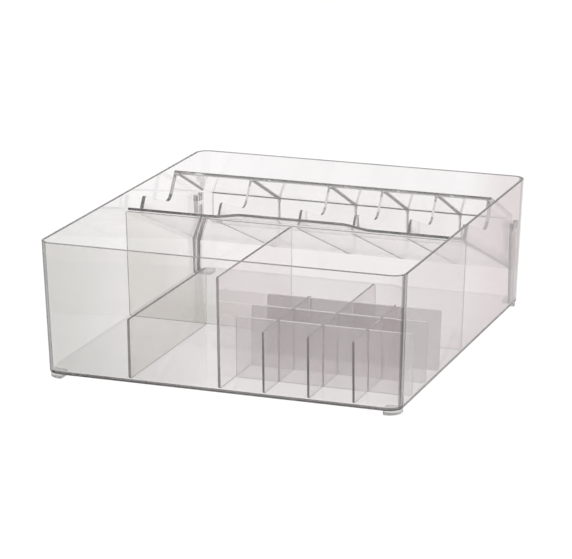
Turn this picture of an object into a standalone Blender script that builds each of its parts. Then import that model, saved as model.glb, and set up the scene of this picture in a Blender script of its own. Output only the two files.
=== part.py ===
"""Clear plastic drawer organizer with a lift-out divided tray and a slotted grid.

The tub is an open box on four pads, a little narrower at its floor than at its rim. A cross wall
halves it, and two partitions split its front half into three compartments. A grid of slotted
dividers stands in the right one. The tray leans over the back half: its floor falls away
from the cross wall that it rests on, and a lug on each of its ends sits in a socket on a post.

Units are metres. X runs along the front, Y to the back and Z up. The origin is on the ground,
under the middle of the tub.
"""

import math

import bmesh
import bpy
from mathutils import Matrix, Vector

# Tub
TUB_WIDTH = 0.270
TUB_DEPTH = 0.310
TUB_HEIGHT = 0.0975
TUB_WALL = 0.0020
TUB_FLOOR = 0.0025
TUB_CORNER_RADIUS = 0.010
TUB_DRAFT = 0.0031
TUB_BOTTOM_ROUND = 0.0018
TUB_INSIDE_ROUND = 0.0012

# Pads under the tub's corners
PAD_HEIGHT = 0.0030
PAD_SIZE = 0.0115
PAD_INSET = 0.0007
PAD_EDGE_RADIUS = 0.0010

# Cross wall and the two partitions in front of it
SHEET_THICKNESS = 0.0020
SHEET_CORNER_RADIUS = 0.0015
CROSS_WALL_HEIGHT = 0.0814
CROSS_WALL_BACK_OFFSET = 0.0015
LOW_PARTITION_HEIGHT = 0.0442

# Grid of slotted dividers in the right compartment
DIVIDER_HEIGHT = 0.0448
DIVIDER_THICKNESS = 0.0016
DIVIDER_CORNER_RADIUS = 0.0020
GRID_PITCH_DEEP = 0.0314
LONG_DIVIDERS = 3
SHORT_DIVIDERS = 3
CENTRAL_DIVIDER = 1
SHORT_DIVIDER_TAIL = 0.0050

# Lift-out tray, in lengths along its floor and heights square to it
TRAY_SIDE_ROOM = 0.0055
TRAY_BACK_ROOM = 0.0079
TRAY_SLOPE = math.radians(22.4)
TRAY_WALL = 0.0020
TRAY_END_THICKNESS = 0.0028
TRAY_DIVIDER_THICKNESS = 0.0018
TRAY_BACK_HEIGHT = 0.0382
TRAY_BACK_CORNER_RADIUS = 0.0090
TRAY_FLOOR_BEND_RADIUS = 0.0100
TRAY_ROOF_BEND_RADIUS = 0.0030
TRAY_ROOF_RISE = 0.0038
TRAY_RAIL_THICKNESS = 0.0028
TRAY_RAIL_DEPTH = 0.0030
TRAY_FENCE_START = 0.0175
TRAY_OPEN_FLOOR_SHARE = 0.4415
TRAY_STEP_RUN = 0.0057
TRAY_FENCE_FRONT_HEIGHT = 0.0124
TRAY_FENCE_BACK_HEIGHT = 0.0160
TRAY_FENCE_LEAN = 0.0018
TRAY_FENCE_CORNER_RADIUS = 0.0028
TRAY_STEP_RADIUS = 0.0090
TRAY_RAIL_CORNER_RADIUS = 0.0012
TRAY_BAY_WIDTH_SHARES = (3, 3, 2, 2, 2)

# Raised finger grip on the tray's front lip
LIP_OVERHANG = 0.0026
LIP_DEPTH = 0.0120
LIP_CORNER_RADIUS = 0.0020
GRIP_HEIGHT = 0.0028
GRIP_LENGTH = 0.0760
GRIP_RAMP_LENGTH = 0.0240

# Lugs on the tray's ends, and the posts that hold them
LUG_LENGTH = 0.0032
LUG_WIDTH = 0.0056
LUG_HEIGHT = 0.0034
LUG_FROM_BACK = 0.0088
LUG_BELOW_ROOF = 0.0080
LUG_EDGE_ROUND = 0.0004
POST_RIB_WIDTH = 0.0032
SOCKET_DEPTH = 0.0050
SOCKET_FLOOR = 0.0036
POST_GROOVE_DEPTH = 0.0010

# Clearances
SEAT_GAP = 0.0003
SLOT_CLEARANCE = 0.0006
SLIDE_CLEARANCE = 0.0005
CUT_OVERRUN = 0.0050
CORNER_CLEARANCE = 0.0001

# Facets
CORNER_STEPS = 6
RAMP_STEPS = 6
LIP_STEPS = 5
BEVEL_STEPS = 2

# Colour, roughness and transmission of each kind of piece
TUB_LOOK = ((0.80, 0.78, 0.78), 0.06, 0.9)
SHEET_LOOK = ((0.79, 0.77, 0.77), 0.05, 0.9)
POST_LOOK = ((0.76, 0.74, 0.74), 0.10, 0.85)
PAD_LOOK = ((0.84, 0.84, 0.83), 0.25, 0.7)
DIVIDER_LOOK = ((0.78, 0.76, 0.76), 0.05, 0.9)
TRAY_LOOK = ((0.81, 0.79, 0.79), 0.05, 0.9)

# Levels and places that follow from the sizes
RIM_LEVEL = PAD_HEIGHT + TUB_HEIGHT
FLOOR_LEVEL = PAD_HEIGHT + TUB_FLOOR
SHEET_FOOT_LEVEL = FLOOR_LEVEL + SEAT_GAP
FOOT_RELIEF = TUB_INSIDE_ROUND + SEAT_GAP
CROSS_WALL_TOP = FLOOR_LEVEL + CROSS_WALL_HEIGHT
CROSS_WALL_BACK = -CROSS_WALL_BACK_OFFSET
CROSS_WALL_FRONT = CROSS_WALL_BACK - SHEET_THICKNESS
LIP_FRONT = CROSS_WALL_FRONT - SLIDE_CLEARANCE
LIP_LOWER_EDGE = LIP_FRONT - TRAY_WALL * math.sin(TRAY_SLOPE)
TRAY_WIDTH = TUB_WIDTH - 2 * (TUB_WALL + TRAY_SIDE_ROOM)
TRAY_DEPTH = TUB_DEPTH / 2 - TUB_WALL - TRAY_BACK_ROOM - LIP_FRONT
LIP_LEVEL = (
    CROSS_WALL_TOP
    + SEAT_GAP
    + (CROSS_WALL_BACK - LIP_FRONT) * math.tan(TRAY_SLOPE)
    + TRAY_WALL / math.cos(TRAY_SLOPE)
)
SLOT_WIDTH = DIVIDER_THICKNESS + SLOT_CLEARANCE
SLOT_LEVEL = SHEET_FOOT_LEVEL + DIVIDER_HEIGHT / 2
DIVIDER_TOP = SHEET_FOOT_LEVEL + DIVIDER_HEIGHT
TALL_PARTITION_X = 0.0
LOW_PARTITION_X = -TUB_WIDTH / 4

PARTS_NAME = "drawer_organizer"
HELPERS_NAME = "drawer_organizer_helpers"


def inner_half(outer_size, level):
    """Return half the clear width or depth between the tub's leaning walls at a level."""
    draft_share = (RIM_LEVEL - level) / TUB_HEIGHT
    return outer_size / 2 - TUB_WALL - TUB_DRAFT * draft_share


def slope_point(along, above):
    """Return the (y, z) place of a point given along the tray's floor and square above it."""
    return (
        LIP_FRONT + along * math.cos(TRAY_SLOPE) + above * math.sin(TRAY_SLOPE),
        LIP_LEVEL - along * math.sin(TRAY_SLOPE) + above * math.cos(TRAY_SLOPE),
    )


def long_divider_places():
    """Return the depth of each long divider, from the front one back."""
    front = -inner_half(TUB_DEPTH, DIVIDER_TOP)
    return [front + GRID_PITCH_DEEP * (index + 1) for index in range(LONG_DIVIDERS)]


def short_divider_places():
    """Return the place across of each short divider, which part the compartment evenly."""
    pitch = (inner_half(TUB_WIDTH, DIVIDER_TOP) - TALL_PARTITION_X) / (SHORT_DIVIDERS + 1)
    return [TALL_PARTITION_X + pitch * (index + 1) for index in range(SHORT_DIVIDERS)]


def clear_scene():
    """Remove every object that the file opened with."""
    for item in list(bpy.data.objects):
        bpy.data.objects.remove(item, do_unlink=True)


def add_collection(name):
    """Make a collection in the scene and return it."""
    collection = bpy.data.collections.new(name)
    bpy.context.scene.collection.children.link(collection)
    return collection


def make_material(name, colour, roughness, transmission):
    """Return a Principled material of clear plastic in the part's own tint."""
    material = bpy.data.materials.new(name)
    material.use_nodes = True
    shader = material.node_tree.nodes["Principled BSDF"]
    shader.inputs["Base Color"].default_value = (*colour, 1.0)
    shader.inputs["Roughness"].default_value = roughness
    shader.inputs["Metallic"].default_value = 0.0
    shader.inputs["Transmission Weight"].default_value = transmission
    return material


def rounded_outline(corners):
    """Return an outline's points, with an arc at each (x, y, radius) corner that has a radius."""
    points = []
    count = len(corners)
    for index, (x, y, radius) in enumerate(corners):
        corner = Vector((x, y))
        if radius == 0:
            points.append((x, y))
            continue
        before = (Vector(corners[index - 1][:2]) - corner).normalized()
        after = (Vector(corners[(index + 1) % count][:2]) - corner).normalized()
        half_angle = before.angle(after) / 2
        centre = corner + (before + after).normalized() * (radius / math.sin(half_angle))
        start = corner + before * (radius / math.tan(half_angle)) - centre
        end = corner + after * (radius / math.tan(half_angle)) - centre
        sweep = start.angle_signed(end)
        for step in range(CORNER_STEPS + 1):
            turned = start.copy()
            turned.rotate(Matrix.Rotation(-sweep * step / CORNER_STEPS, 2))
            points.append(tuple(centre + turned))
    return points


def link_mesh(name, mesh, collection):
    """Link a mesh to a collection as a new object and return the object."""
    item = bpy.data.objects.new(name, mesh)
    collection.objects.link(item)
    return item


def turn_faces_out(mesh):
    """Weld a mesh's loose caps and turn its faces outward."""
    shape = bmesh.new()
    shape.from_mesh(mesh)
    bmesh.ops.remove_doubles(shape, verts=shape.verts, dist=SEAT_GAP / 100)
    bmesh.ops.recalc_face_normals(shape, faces=shape.faces)
    shape.to_mesh(mesh)
    shape.free()


def extrude_outline(name, points, thickness, placing, collection):
    """Return a flat solid: an outline with a thickness, put in place by a matrix."""
    curve = bpy.data.curves.new(name, "CURVE")
    curve.dimensions = "2D"
    curve.fill_mode = "BOTH"
    curve.extrude = thickness / 2
    spline = curve.splines.new("POLY")
    spline.points.add(len(points) - 1)
    for point, (x, y) in zip(spline.points, points):
        point.co = (x, y, 0.0, 1.0)
    spline.use_cyclic_u = True
    drawn = bpy.data.objects.new(name + "_outline", curve)
    collection.objects.link(drawn)
    graph = bpy.context.evaluated_depsgraph_get()
    mesh = bpy.data.meshes.new_from_object(drawn.evaluated_get(graph))
    bpy.data.objects.remove(drawn, do_unlink=True)
    mesh.name = name
    mesh.transform(placing)
    turn_faces_out(mesh)
    return link_mesh(name, mesh, collection)


def facing_side(x):
    """Return the matrix that stands a (y, z) outline in the plane at x."""
    return Matrix(((0, 0, 1, x), (1, 0, 0, 0), (0, 1, 0, 0), (0, 0, 0, 1)))


def facing_front(y):
    """Return the matrix that stands an (x, z) outline in the plane at y."""
    return Matrix(((1, 0, 0, 0), (0, 0, -1, y), (0, 1, 0, 0), (0, 0, 0, 1)))


def lying_at(level):
    """Return the matrix that lays an (x, y) outline at a level."""
    return Matrix.Translation((0, 0, level))


def add_box(name, low, high, collection):
    """Return a box between two corners, made from a unit cube."""
    size = Vector(high) - Vector(low)
    centre = (Vector(high) + Vector(low)) / 2
    placing = Matrix.Translation(centre) @ Matrix.Diagonal((*size, 1))
    mesh = bpy.data.meshes.new(name)
    shape = bmesh.new()
    bmesh.ops.create_cube(shape, size=1, matrix=placing)
    shape.to_mesh(mesh)
    shape.free()
    return link_mesh(name, mesh, collection)


def combine(target, helper, operation):
    """Cut, join or intersect a part with a helper, which stays hidden in its own collection."""
    change = target.modifiers.new(helper.name, "BOOLEAN")
    change.operation = operation
    change.solver = "EXACT"
    change.object = helper
    helper.hide_render = True
    helper.display_type = "WIRE"


def tapered_tub_block(name, shrink, low_level, high_level, corner_radius, edge_round, collection):
    """Return a block with the tub's plan and draft, drawn in all round by a shrink."""
    lean = TUB_DRAFT / TUB_HEIGHT
    grow = (high_level - RIM_LEVEL) * lean
    half_width = TUB_WIDTH / 2 - shrink + grow
    half_depth = TUB_DEPTH / 2 - shrink + grow
    corners = [
        (half_width, -half_depth, corner_radius),
        (half_width, half_depth, corner_radius),
        (-half_width, half_depth, corner_radius),
        (-half_width, -half_depth, corner_radius),
    ]
    height = high_level - low_level
    block = extrude_outline(
        name, rounded_outline(corners), height, lying_at(low_level + height / 2), collection
    )
    shape = bmesh.new()
    shape.from_mesh(block.data)
    draw_in = height * lean
    low_points = [point for point in shape.verts if point.co.z < low_level + height / 2]
    for point in low_points:
        point.co.x -= math.copysign(draw_in, point.co.x)
        point.co.y -= math.copysign(draw_in, point.co.y)
    low_ring = set(low_points)
    low_edges = [
        edge
        for edge in shape.edges
        if low_ring.issuperset(edge.verts) and not all(is_level(face) for face in edge.link_faces)
    ]
    bmesh.ops.bevel(
        shape,
        geom=low_edges,
        offset=edge_round,
        segments=BEVEL_STEPS,
        profile=0.5,
        affect="EDGES",
    )
    shape.to_mesh(block.data)
    shape.free()
    return block


def is_level(face):
    """Tell whether a face lies level."""
    return abs(face.normal.z) > abs(face.normal.xy.length)


def build_tub(parts, helpers):
    """Build the open tub: a drafted block with a smaller drafted block cut out of it."""
    tub = tapered_tub_block(
        "tub", 0.0, PAD_HEIGHT, RIM_LEVEL, TUB_CORNER_RADIUS, TUB_BOTTOM_ROUND, parts
    )
    hollow = tapered_tub_block(
        "tub_hollow",
        TUB_WALL,
        FLOOR_LEVEL,
        RIM_LEVEL + CUT_OVERRUN,
        TUB_CORNER_RADIUS - TUB_WALL,
        TUB_INSIDE_ROUND,
        helpers,
    )
    combine(tub, hollow, "DIFFERENCE")
    return [tub]


def build_pads(parts):
    """Build the four pads, each with one corner that follows the tub's round corner."""
    across = TUB_WIDTH / 2 - TUB_DRAFT - PAD_INSET
    deep = TUB_DEPTH / 2 - TUB_DRAFT - PAD_INSET
    height = PAD_HEIGHT - SEAT_GAP
    pads = []
    for deep_name, deep_side in (("front", -1), ("back", 1)):
        for across_name, across_side in (("left", -1), ("right", 1)):
            outer_x = across_side * across
            outer_y = deep_side * deep
            inner_x = across_side * (across - PAD_SIZE)
            inner_y = deep_side * (deep - PAD_SIZE)
            corners = [
                (outer_x, outer_y, TUB_CORNER_RADIUS - PAD_INSET),
                (outer_x, inner_y, PAD_EDGE_RADIUS),
                (inner_x, inner_y, PAD_EDGE_RADIUS),
                (inner_x, outer_y, PAD_EDGE_RADIUS),
            ]
            name = f"pad_{deep_name}_{across_name}"
            outline = rounded_outline(corners)
            pads.append(extrude_outline(name, outline, height, lying_at(height / 2), parts))
    return pads


def build_cross_wall(parts):
    """Build the cross wall, whose ends lean with the tub's sides."""
    foot = inner_half(TUB_WIDTH, SHEET_FOOT_LEVEL) - SEAT_GAP
    head = inner_half(TUB_WIDTH, CROSS_WALL_TOP) - SEAT_GAP
    corners = [
        (-foot, SHEET_FOOT_LEVEL, FOOT_RELIEF),
        (foot, SHEET_FOOT_LEVEL, FOOT_RELIEF),
        (head, CROSS_WALL_TOP, SHEET_CORNER_RADIUS),
        (-head, CROSS_WALL_TOP, SHEET_CORNER_RADIUS),
    ]
    middle = (CROSS_WALL_FRONT + CROSS_WALL_BACK) / 2
    outline = rounded_outline(corners)
    return [extrude_outline("cross_wall", outline, SHEET_THICKNESS, facing_front(middle), parts)]


def build_partition(name, x, height, parts):
    """Build a partition from the tub's front wall back to the cross wall."""
    top = FLOOR_LEVEL + height
    foot = -inner_half(TUB_DEPTH, SHEET_FOOT_LEVEL) + SEAT_GAP
    head = -inner_half(TUB_DEPTH, top) + SEAT_GAP
    back = CROSS_WALL_FRONT - SEAT_GAP
    corners = [
        (foot, SHEET_FOOT_LEVEL, FOOT_RELIEF),
        (back, SHEET_FOOT_LEVEL, 0),
        (back, top, SHEET_CORNER_RADIUS),
        (head, top, SHEET_CORNER_RADIUS),
    ]
    return extrude_outline(name, rounded_outline(corners), SHEET_THICKNESS, facing_side(x), parts)


def build_long_dividers(parts):
    """Build the dividers that run across, with slots that open upward."""
    left = TALL_PARTITION_X + SHEET_THICKNESS / 2 + SLIDE_CLEARANCE
    right_foot = inner_half(TUB_WIDTH, SHEET_FOOT_LEVEL) - SLIDE_CLEARANCE
    right_head = inner_half(TUB_WIDTH, DIVIDER_TOP) - SLIDE_CLEARANCE
    corners = [
        (left, SHEET_FOOT_LEVEL, 0),
        (right_foot, SHEET_FOOT_LEVEL, FOOT_RELIEF),
        (right_head, DIVIDER_TOP, DIVIDER_CORNER_RADIUS),
    ]
    for place in reversed(short_divider_places()):
        corners += [
            (place + SLOT_WIDTH / 2, DIVIDER_TOP, 0),
            (place + SLOT_WIDTH / 2, SLOT_LEVEL, 0),
            (place - SLOT_WIDTH / 2, SLOT_LEVEL, 0),
            (place - SLOT_WIDTH / 2, DIVIDER_TOP, 0),
        ]
    corners.append((left, DIVIDER_TOP, DIVIDER_CORNER_RADIUS))
    outline = rounded_outline(corners)
    return [
        extrude_outline(
            f"long_divider_{index + 1}", outline, DIVIDER_THICKNESS, facing_front(place), parts
        )
        for index, place in enumerate(long_divider_places())
    ]


def build_short_dividers(parts):
    """Build the dividers that run front to back, with slots that open downward."""
    front_foot = -inner_half(TUB_DEPTH, SHEET_FOOT_LEVEL) + SLIDE_CLEARANCE
    front_head = -inner_half(TUB_DEPTH, DIVIDER_TOP) + SLIDE_CLEARANCE
    short_back = long_divider_places()[-1] + SHORT_DIVIDER_TAIL
    long_back = LIP_LOWER_EDGE - SLIDE_CLEARANCE
    dividers = []
    for index, place in enumerate(short_divider_places()):
        back = long_back if index == CENTRAL_DIVIDER else short_back
        corners = [(front_foot, SHEET_FOOT_LEVEL, FOOT_RELIEF)]
        for crossing in long_divider_places():
            corners += [
                (crossing - SLOT_WIDTH / 2, SHEET_FOOT_LEVEL, 0),
                (crossing - SLOT_WIDTH / 2, SLOT_LEVEL + SEAT_GAP, 0),
                (crossing + SLOT_WIDTH / 2, SLOT_LEVEL + SEAT_GAP, 0),
                (crossing + SLOT_WIDTH / 2, SHEET_FOOT_LEVEL, 0),
            ]
        corners += [
            (back, SHEET_FOOT_LEVEL, 0),
            (back, DIVIDER_TOP, DIVIDER_CORNER_RADIUS),
            (front_head, DIVIDER_TOP, DIVIDER_CORNER_RADIUS),
        ]
        name = f"short_divider_{index + 1}"
        outline = rounded_outline(corners)
        dividers.append(
            extrude_outline(name, outline, DIVIDER_THICKNESS, facing_side(place), parts)
        )
    return dividers


def tray_back_point(above, inset):
    """Return the (along, above) point on the tray's upright back, or inside it by an inset."""
    depth = TRAY_DEPTH - inset
    return ((depth - above * math.sin(TRAY_SLOPE)) / math.cos(TRAY_SLOPE), above)


def tray_landmarks():
    """Return the tray's named corners as (along, above) points of its side view."""
    floor_end, _ = tray_back_point(0.0, 0.0)
    fence_end = TRAY_OPEN_FLOOR_SHARE * floor_end
    return {
        "fence_foot": (TRAY_FENCE_START, 0.0),
        "fence_front": (TRAY_FENCE_START + TRAY_FENCE_LEAN, TRAY_FENCE_FRONT_HEIGHT),
        "fence_back": (fence_end, TRAY_FENCE_BACK_HEIGHT),
        "rail": (fence_end + TRAY_STEP_RUN, TRAY_BACK_HEIGHT + TRAY_ROOF_RISE),
        "roof_back": tray_back_point(TRAY_BACK_HEIGHT, 0.0),
    }


def tray_roof_fall():
    """Return how much nearer the floor the roof gets for each length along it."""
    marks = tray_landmarks()
    return TRAY_ROOF_RISE / (marks["roof_back"][0] - marks["rail"][0])


def tray_roof_line(along, below):
    """Return the (along, above) point on a line under the roof's top and parallel to it."""
    rail_along, rail_above = tray_landmarks()["rail"]
    return (along, rail_above - (along - rail_along) * tray_roof_fall() - below)


def tray_roof_inner_back():
    """Return the (along, above) corner where the roof's underside meets the back's inner face."""
    foot_along, _ = tray_back_point(0.0, TRAY_WALL)
    _, above_foot = tray_roof_line(foot_along, TRAY_WALL)
    above = above_foot / (1 - tray_roof_fall() * math.tan(TRAY_SLOPE))
    return tray_back_point(above, TRAY_WALL)


def tray_side_block(helpers):
    """Return the tray's full side view, drawn out over its whole width."""
    marks = tray_landmarks()
    corners = [
        (LIP_DEPTH - TRAY_WALL, -TRAY_WALL, 0),
        (*tray_back_point(-TRAY_WALL, 0.0), TRAY_FLOOR_BEND_RADIUS),
        (*marks["roof_back"], TRAY_ROOF_BEND_RADIUS),
        (*marks["rail"], TRAY_RAIL_CORNER_RADIUS),
        (*marks["fence_back"], TRAY_STEP_RADIUS),
        (*marks["fence_front"], TRAY_FENCE_CORNER_RADIUS),
        (*marks["fence_foot"], 0),
        (LIP_DEPTH - TRAY_WALL, 0.0, 0),
    ]
    outline = [slope_point(*point) for point in rounded_outline(corners)]
    width = TRAY_WIDTH + CUT_OVERRUN
    return extrude_outline("tray_side_view", outline, width, facing_side(0.0), helpers)


def tray_plan_block(name, inset_ends, inset_back, collection):
    """Return an upright block with the tray's plan, whose back corners are round."""
    half_width = TRAY_WIDTH / 2 - inset_ends
    back = LIP_FRONT + TRAY_DEPTH - inset_back + CORNER_CLEARANCE
    radius = TRAY_BACK_CORNER_RADIUS - inset_back
    corners = [
        (-half_width, LIP_FRONT - CUT_OVERRUN, 0),
        (half_width, LIP_FRONT - CUT_OVERRUN, 0),
        (half_width, back, radius),
        (-half_width, back, radius),
    ]
    outline = rounded_outline(corners)
    return extrude_outline(name, outline, 2 * RIM_LEVEL, lying_at(LIP_LEVEL), collection)


def tray_hollow(helpers):
    """Return the tray's bays as one cutter: the room over the floor and under the roof."""
    rail_along, _ = tray_landmarks()["rail"]
    rail_back = rail_along + TRAY_RAIL_DEPTH
    past_step = tray_landmarks()["fence_back"][0] - TRAY_STEP_RADIUS
    open_top = 2 * TRAY_BACK_HEIGHT
    corners = [
        (TRAY_FENCE_START, 0.0, 0),
        (*tray_back_point(0.0, TRAY_WALL), TRAY_FLOOR_BEND_RADIUS - TRAY_WALL),
        (*tray_roof_inner_back(), TRAY_ROOF_BEND_RADIUS - TRAY_WALL),
        (*tray_roof_line(rail_back, TRAY_WALL), 0),
        (*tray_roof_line(rail_back - TRAY_WALL, TRAY_RAIL_THICKNESS), 0),
        (*tray_roof_line(past_step, TRAY_RAIL_THICKNESS), 0),
        (past_step, open_top, 0),
        (TRAY_FENCE_START - CUT_OVERRUN, open_top, 0),
    ]
    outline = [slope_point(*point) for point in rounded_outline(corners)]
    hollow = extrude_outline("tray_hollow", outline, TRAY_WIDTH, facing_side(0.0), helpers)
    inner_plan = tray_plan_block("tray_inner_plan", TRAY_END_THICKNESS, TRAY_WALL, helpers)
    combine(hollow, inner_plan, "INTERSECT")
    for index, x in enumerate(tray_divider_places()):
        low = (x - TRAY_DIVIDER_THICKNESS / 2, -TUB_DEPTH, -RIM_LEVEL)
        high = (x + TRAY_DIVIDER_THICKNESS / 2, TUB_DEPTH, 2 * RIM_LEVEL)
        slab = add_box(f"tray_divider_room_{index + 1}", low, high, helpers)
        combine(hollow, slab, "DIFFERENCE")
    return hollow


def tray_divider_places():
    """Return where the tray's inner dividers stand across, between its five bays."""
    share_width = TRAY_WIDTH / sum(TRAY_BAY_WIDTH_SHARES)
    places = []
    x = -TRAY_WIDTH / 2
    for share in TRAY_BAY_WIDTH_SHARES[:-1]:
        x += share * share_width
        places.append(x)
    return places


def smooth_step(share):
    """Return a smooth rise from 0 to 1 for a share that runs from 0 to 1."""
    held = min(max(share, 0.0), 1.0)
    return held * held * (3.0 - 2.0 * held)


def lip_stations():
    """Return the places across where the lip's surface has a row of points."""
    end = TRAY_WIDTH / 2 + LIP_OVERHANG
    ramp_start = GRIP_LENGTH / 2
    ramp = [ramp_start + GRIP_RAMP_LENGTH * step / RAMP_STEPS for step in range(RAMP_STEPS + 1)]
    right = ramp + [end - LIP_CORNER_RADIUS, end]
    return [-x for x in reversed(right)] + right


def grip_rise(x):
    """Return how far the lip is raised at a place across."""
    return GRIP_HEIGHT * (1.0 - smooth_step((abs(x) - GRIP_LENGTH / 2) / GRIP_RAMP_LENGTH))


def tray_lip(helpers):
    """Return the front lip: a strip of the tray's floor whose middle rises as a finger grip."""
    mesh = bpy.data.meshes.new("tray_lip")
    shape = bmesh.new()
    end = TRAY_WIDTH / 2 + LIP_OVERHANG
    rows = []
    for x in lip_stations():
        row = []
        start = LIP_CORNER_RADIUS if abs(x) == end else 0.0
        for step in range(LIP_STEPS + 1):
            share = step / LIP_STEPS
            along = start + (LIP_DEPTH - start) * share
            above = grip_rise(x) * (1.0 - smooth_step(share))
            row.append(shape.verts.new((x, *slope_point(along, above))))
        rows.append(row)
    for row, next_row in zip(rows, rows[1:]):
        for step in range(LIP_STEPS):
            shape.faces.new((row[step], next_row[step], next_row[step + 1], row[step + 1]))
    bmesh.ops.recalc_face_normals(shape, faces=shape.faces)
    if sum(face.normal.z for face in shape.faces) < 0:
        bmesh.ops.reverse_faces(shape, faces=shape.faces)
    shape.to_mesh(mesh)
    shape.free()
    lip = link_mesh("tray_lip", mesh, helpers)
    thicken = lip.modifiers.new("thickness", "SOLIDIFY")
    thicken.thickness = TRAY_WALL
    thicken.offset = -1.0
    return lip


def lug_place():
    """Return the (y, z) middle of the lugs on the tray's ends."""
    roof_along, roof_above = tray_landmarks()["roof_back"]
    return slope_point(roof_along - LUG_FROM_BACK, roof_above - LUG_BELOW_ROOF)


def build_tray(parts, helpers):
    """Build the one-piece tray: floor, back, roof, ends and dividers around its five bays."""
    tray = tray_plan_block("tray", 0.0, 0.0, parts)
    combine(tray, tray_side_block(helpers), "INTERSECT")
    combine(tray, tray_hollow(helpers), "DIFFERENCE")
    combine(tray, tray_lip(helpers), "UNION")
    lug_y, lug_z = lug_place()
    for name, side in (("left", -1), ("right", 1)):
        inner = side * (TRAY_WIDTH / 2 - TRAY_END_THICKNESS / 2)
        outer = side * (TRAY_WIDTH / 2 + LUG_LENGTH)
        low = (min(inner, outer), lug_y - LUG_WIDTH / 2, lug_z - LUG_HEIGHT / 2)
        high = (max(inner, outer), lug_y + LUG_WIDTH / 2, lug_z + LUG_HEIGHT / 2)
        lug = add_box(f"tray_lug_{name}", low, high, helpers)
        round_edges(lug, LUG_EDGE_ROUND)
        combine(tray, lug, "UNION")
    return [tray]


def round_edges(item, width):
    """Round an object's sharp edges."""
    bevel = item.modifiers.new("rounding", "BEVEL")
    bevel.width = width
    bevel.segments = BEVEL_STEPS


def build_posts(parts, helpers):
    """Build the two posts that stand by the tub's sides and hold the tray's lugs."""
    lug_y, lug_z = lug_place()
    seat = lug_z - LUG_HEIGHT / 2 - SEAT_GAP
    top = seat + SOCKET_DEPTH
    face = TRAY_WIDTH / 2 + SLIDE_CLEARANCE
    socket_width = LUG_WIDTH + 2 * SLIDE_CLEARANCE
    post_width = socket_width + 2 * POST_RIB_WIDTH
    wall_foot = inner_half(TUB_WIDTH, SHEET_FOOT_LEVEL) - SEAT_GAP
    wall_head = inner_half(TUB_WIDTH, top) - SEAT_GAP
    posts = []
    for name, side in (("left", -1), ("right", 1)):
        corners = [
            (side * face, SHEET_FOOT_LEVEL, 0),
            (side * wall_foot, SHEET_FOOT_LEVEL, FOOT_RELIEF),
            (side * wall_head, top, 0),
            (side * face, top, 0),
        ]
        post = extrude_outline(
            f"post_{name}", rounded_outline(corners), post_width, facing_front(lug_y), parts
        )
        reach = TUB_WIDTH / 2
        inner = side * (face - CUT_OVERRUN)
        outer = side * reach
        socket = add_box(
            f"post_{name}_socket",
            (min(inner, outer), lug_y - socket_width / 2, seat),
            (max(inner, outer), lug_y + socket_width / 2, top + CUT_OVERRUN),
            helpers,
        )
        combine(post, socket, "DIFFERENCE")
        bottom = side * (face + POST_GROOVE_DEPTH)
        groove = add_box(
            f"post_{name}_groove",
            (min(inner, bottom), lug_y - socket_width / 2, -CUT_OVERRUN),
            (max(inner, bottom), lug_y + socket_width / 2, seat - SOCKET_FLOOR),
            helpers,
        )
        combine(post, groove, "DIFFERENCE")
        posts.append(post)
    return posts


def dress(items, look):
    """Give each object its own clear plastic material with a kind's look."""
    for item in items:
        item.data.materials.clear()
        item.data.materials.append(make_material(item.name, *look))


def main():
    """Build the organizer piece by piece."""
    clear_scene()
    parts = add_collection(PARTS_NAME)
    helpers = add_collection(HELPERS_NAME)
    tall = build_partition("tall_partition", TALL_PARTITION_X, CROSS_WALL_HEIGHT, parts)
    low = build_partition("low_partition", LOW_PARTITION_X, LOW_PARTITION_HEIGHT, parts)
    dress([tall, low], SHEET_LOOK)
    dress(build_cross_wall(parts), SHEET_LOOK)
    dress(build_tub(parts, helpers), TUB_LOOK)
    dress(build_posts(parts, helpers), POST_LOOK)
    dress(build_pads(parts), PAD_LOOK)
    dress(build_long_dividers(parts), DIVIDER_LOOK)
    dress(build_short_dividers(parts), DIVIDER_LOOK)
    dress(build_tray(parts, helpers), TRAY_LOOK)


main()
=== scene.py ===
"""Dresses the clear drawer organizer: its moulded pieces, their plastics and the studio around it.

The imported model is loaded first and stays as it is. Each of its nodes is then stood for by a finer
piece in the same place: soft rims, rounded edges and smooth bends that clear plastic needs, since
every edge of it bends the light. Lengths are metres, with X along the front, Y to the back, Z up.
"""

from __future__ import annotations

import logging
import math
from collections.abc import Callable, Iterable, Sequence
from dataclasses import dataclass
from enum import Enum

import bmesh
import bpy
from bmesh.types import BMEdge, BMesh, BMFace, BMVert
from bpy.types import Material, NodeSocket, NodeTree, Object, ShaderNode
from mathutils import Matrix, Vector


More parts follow.
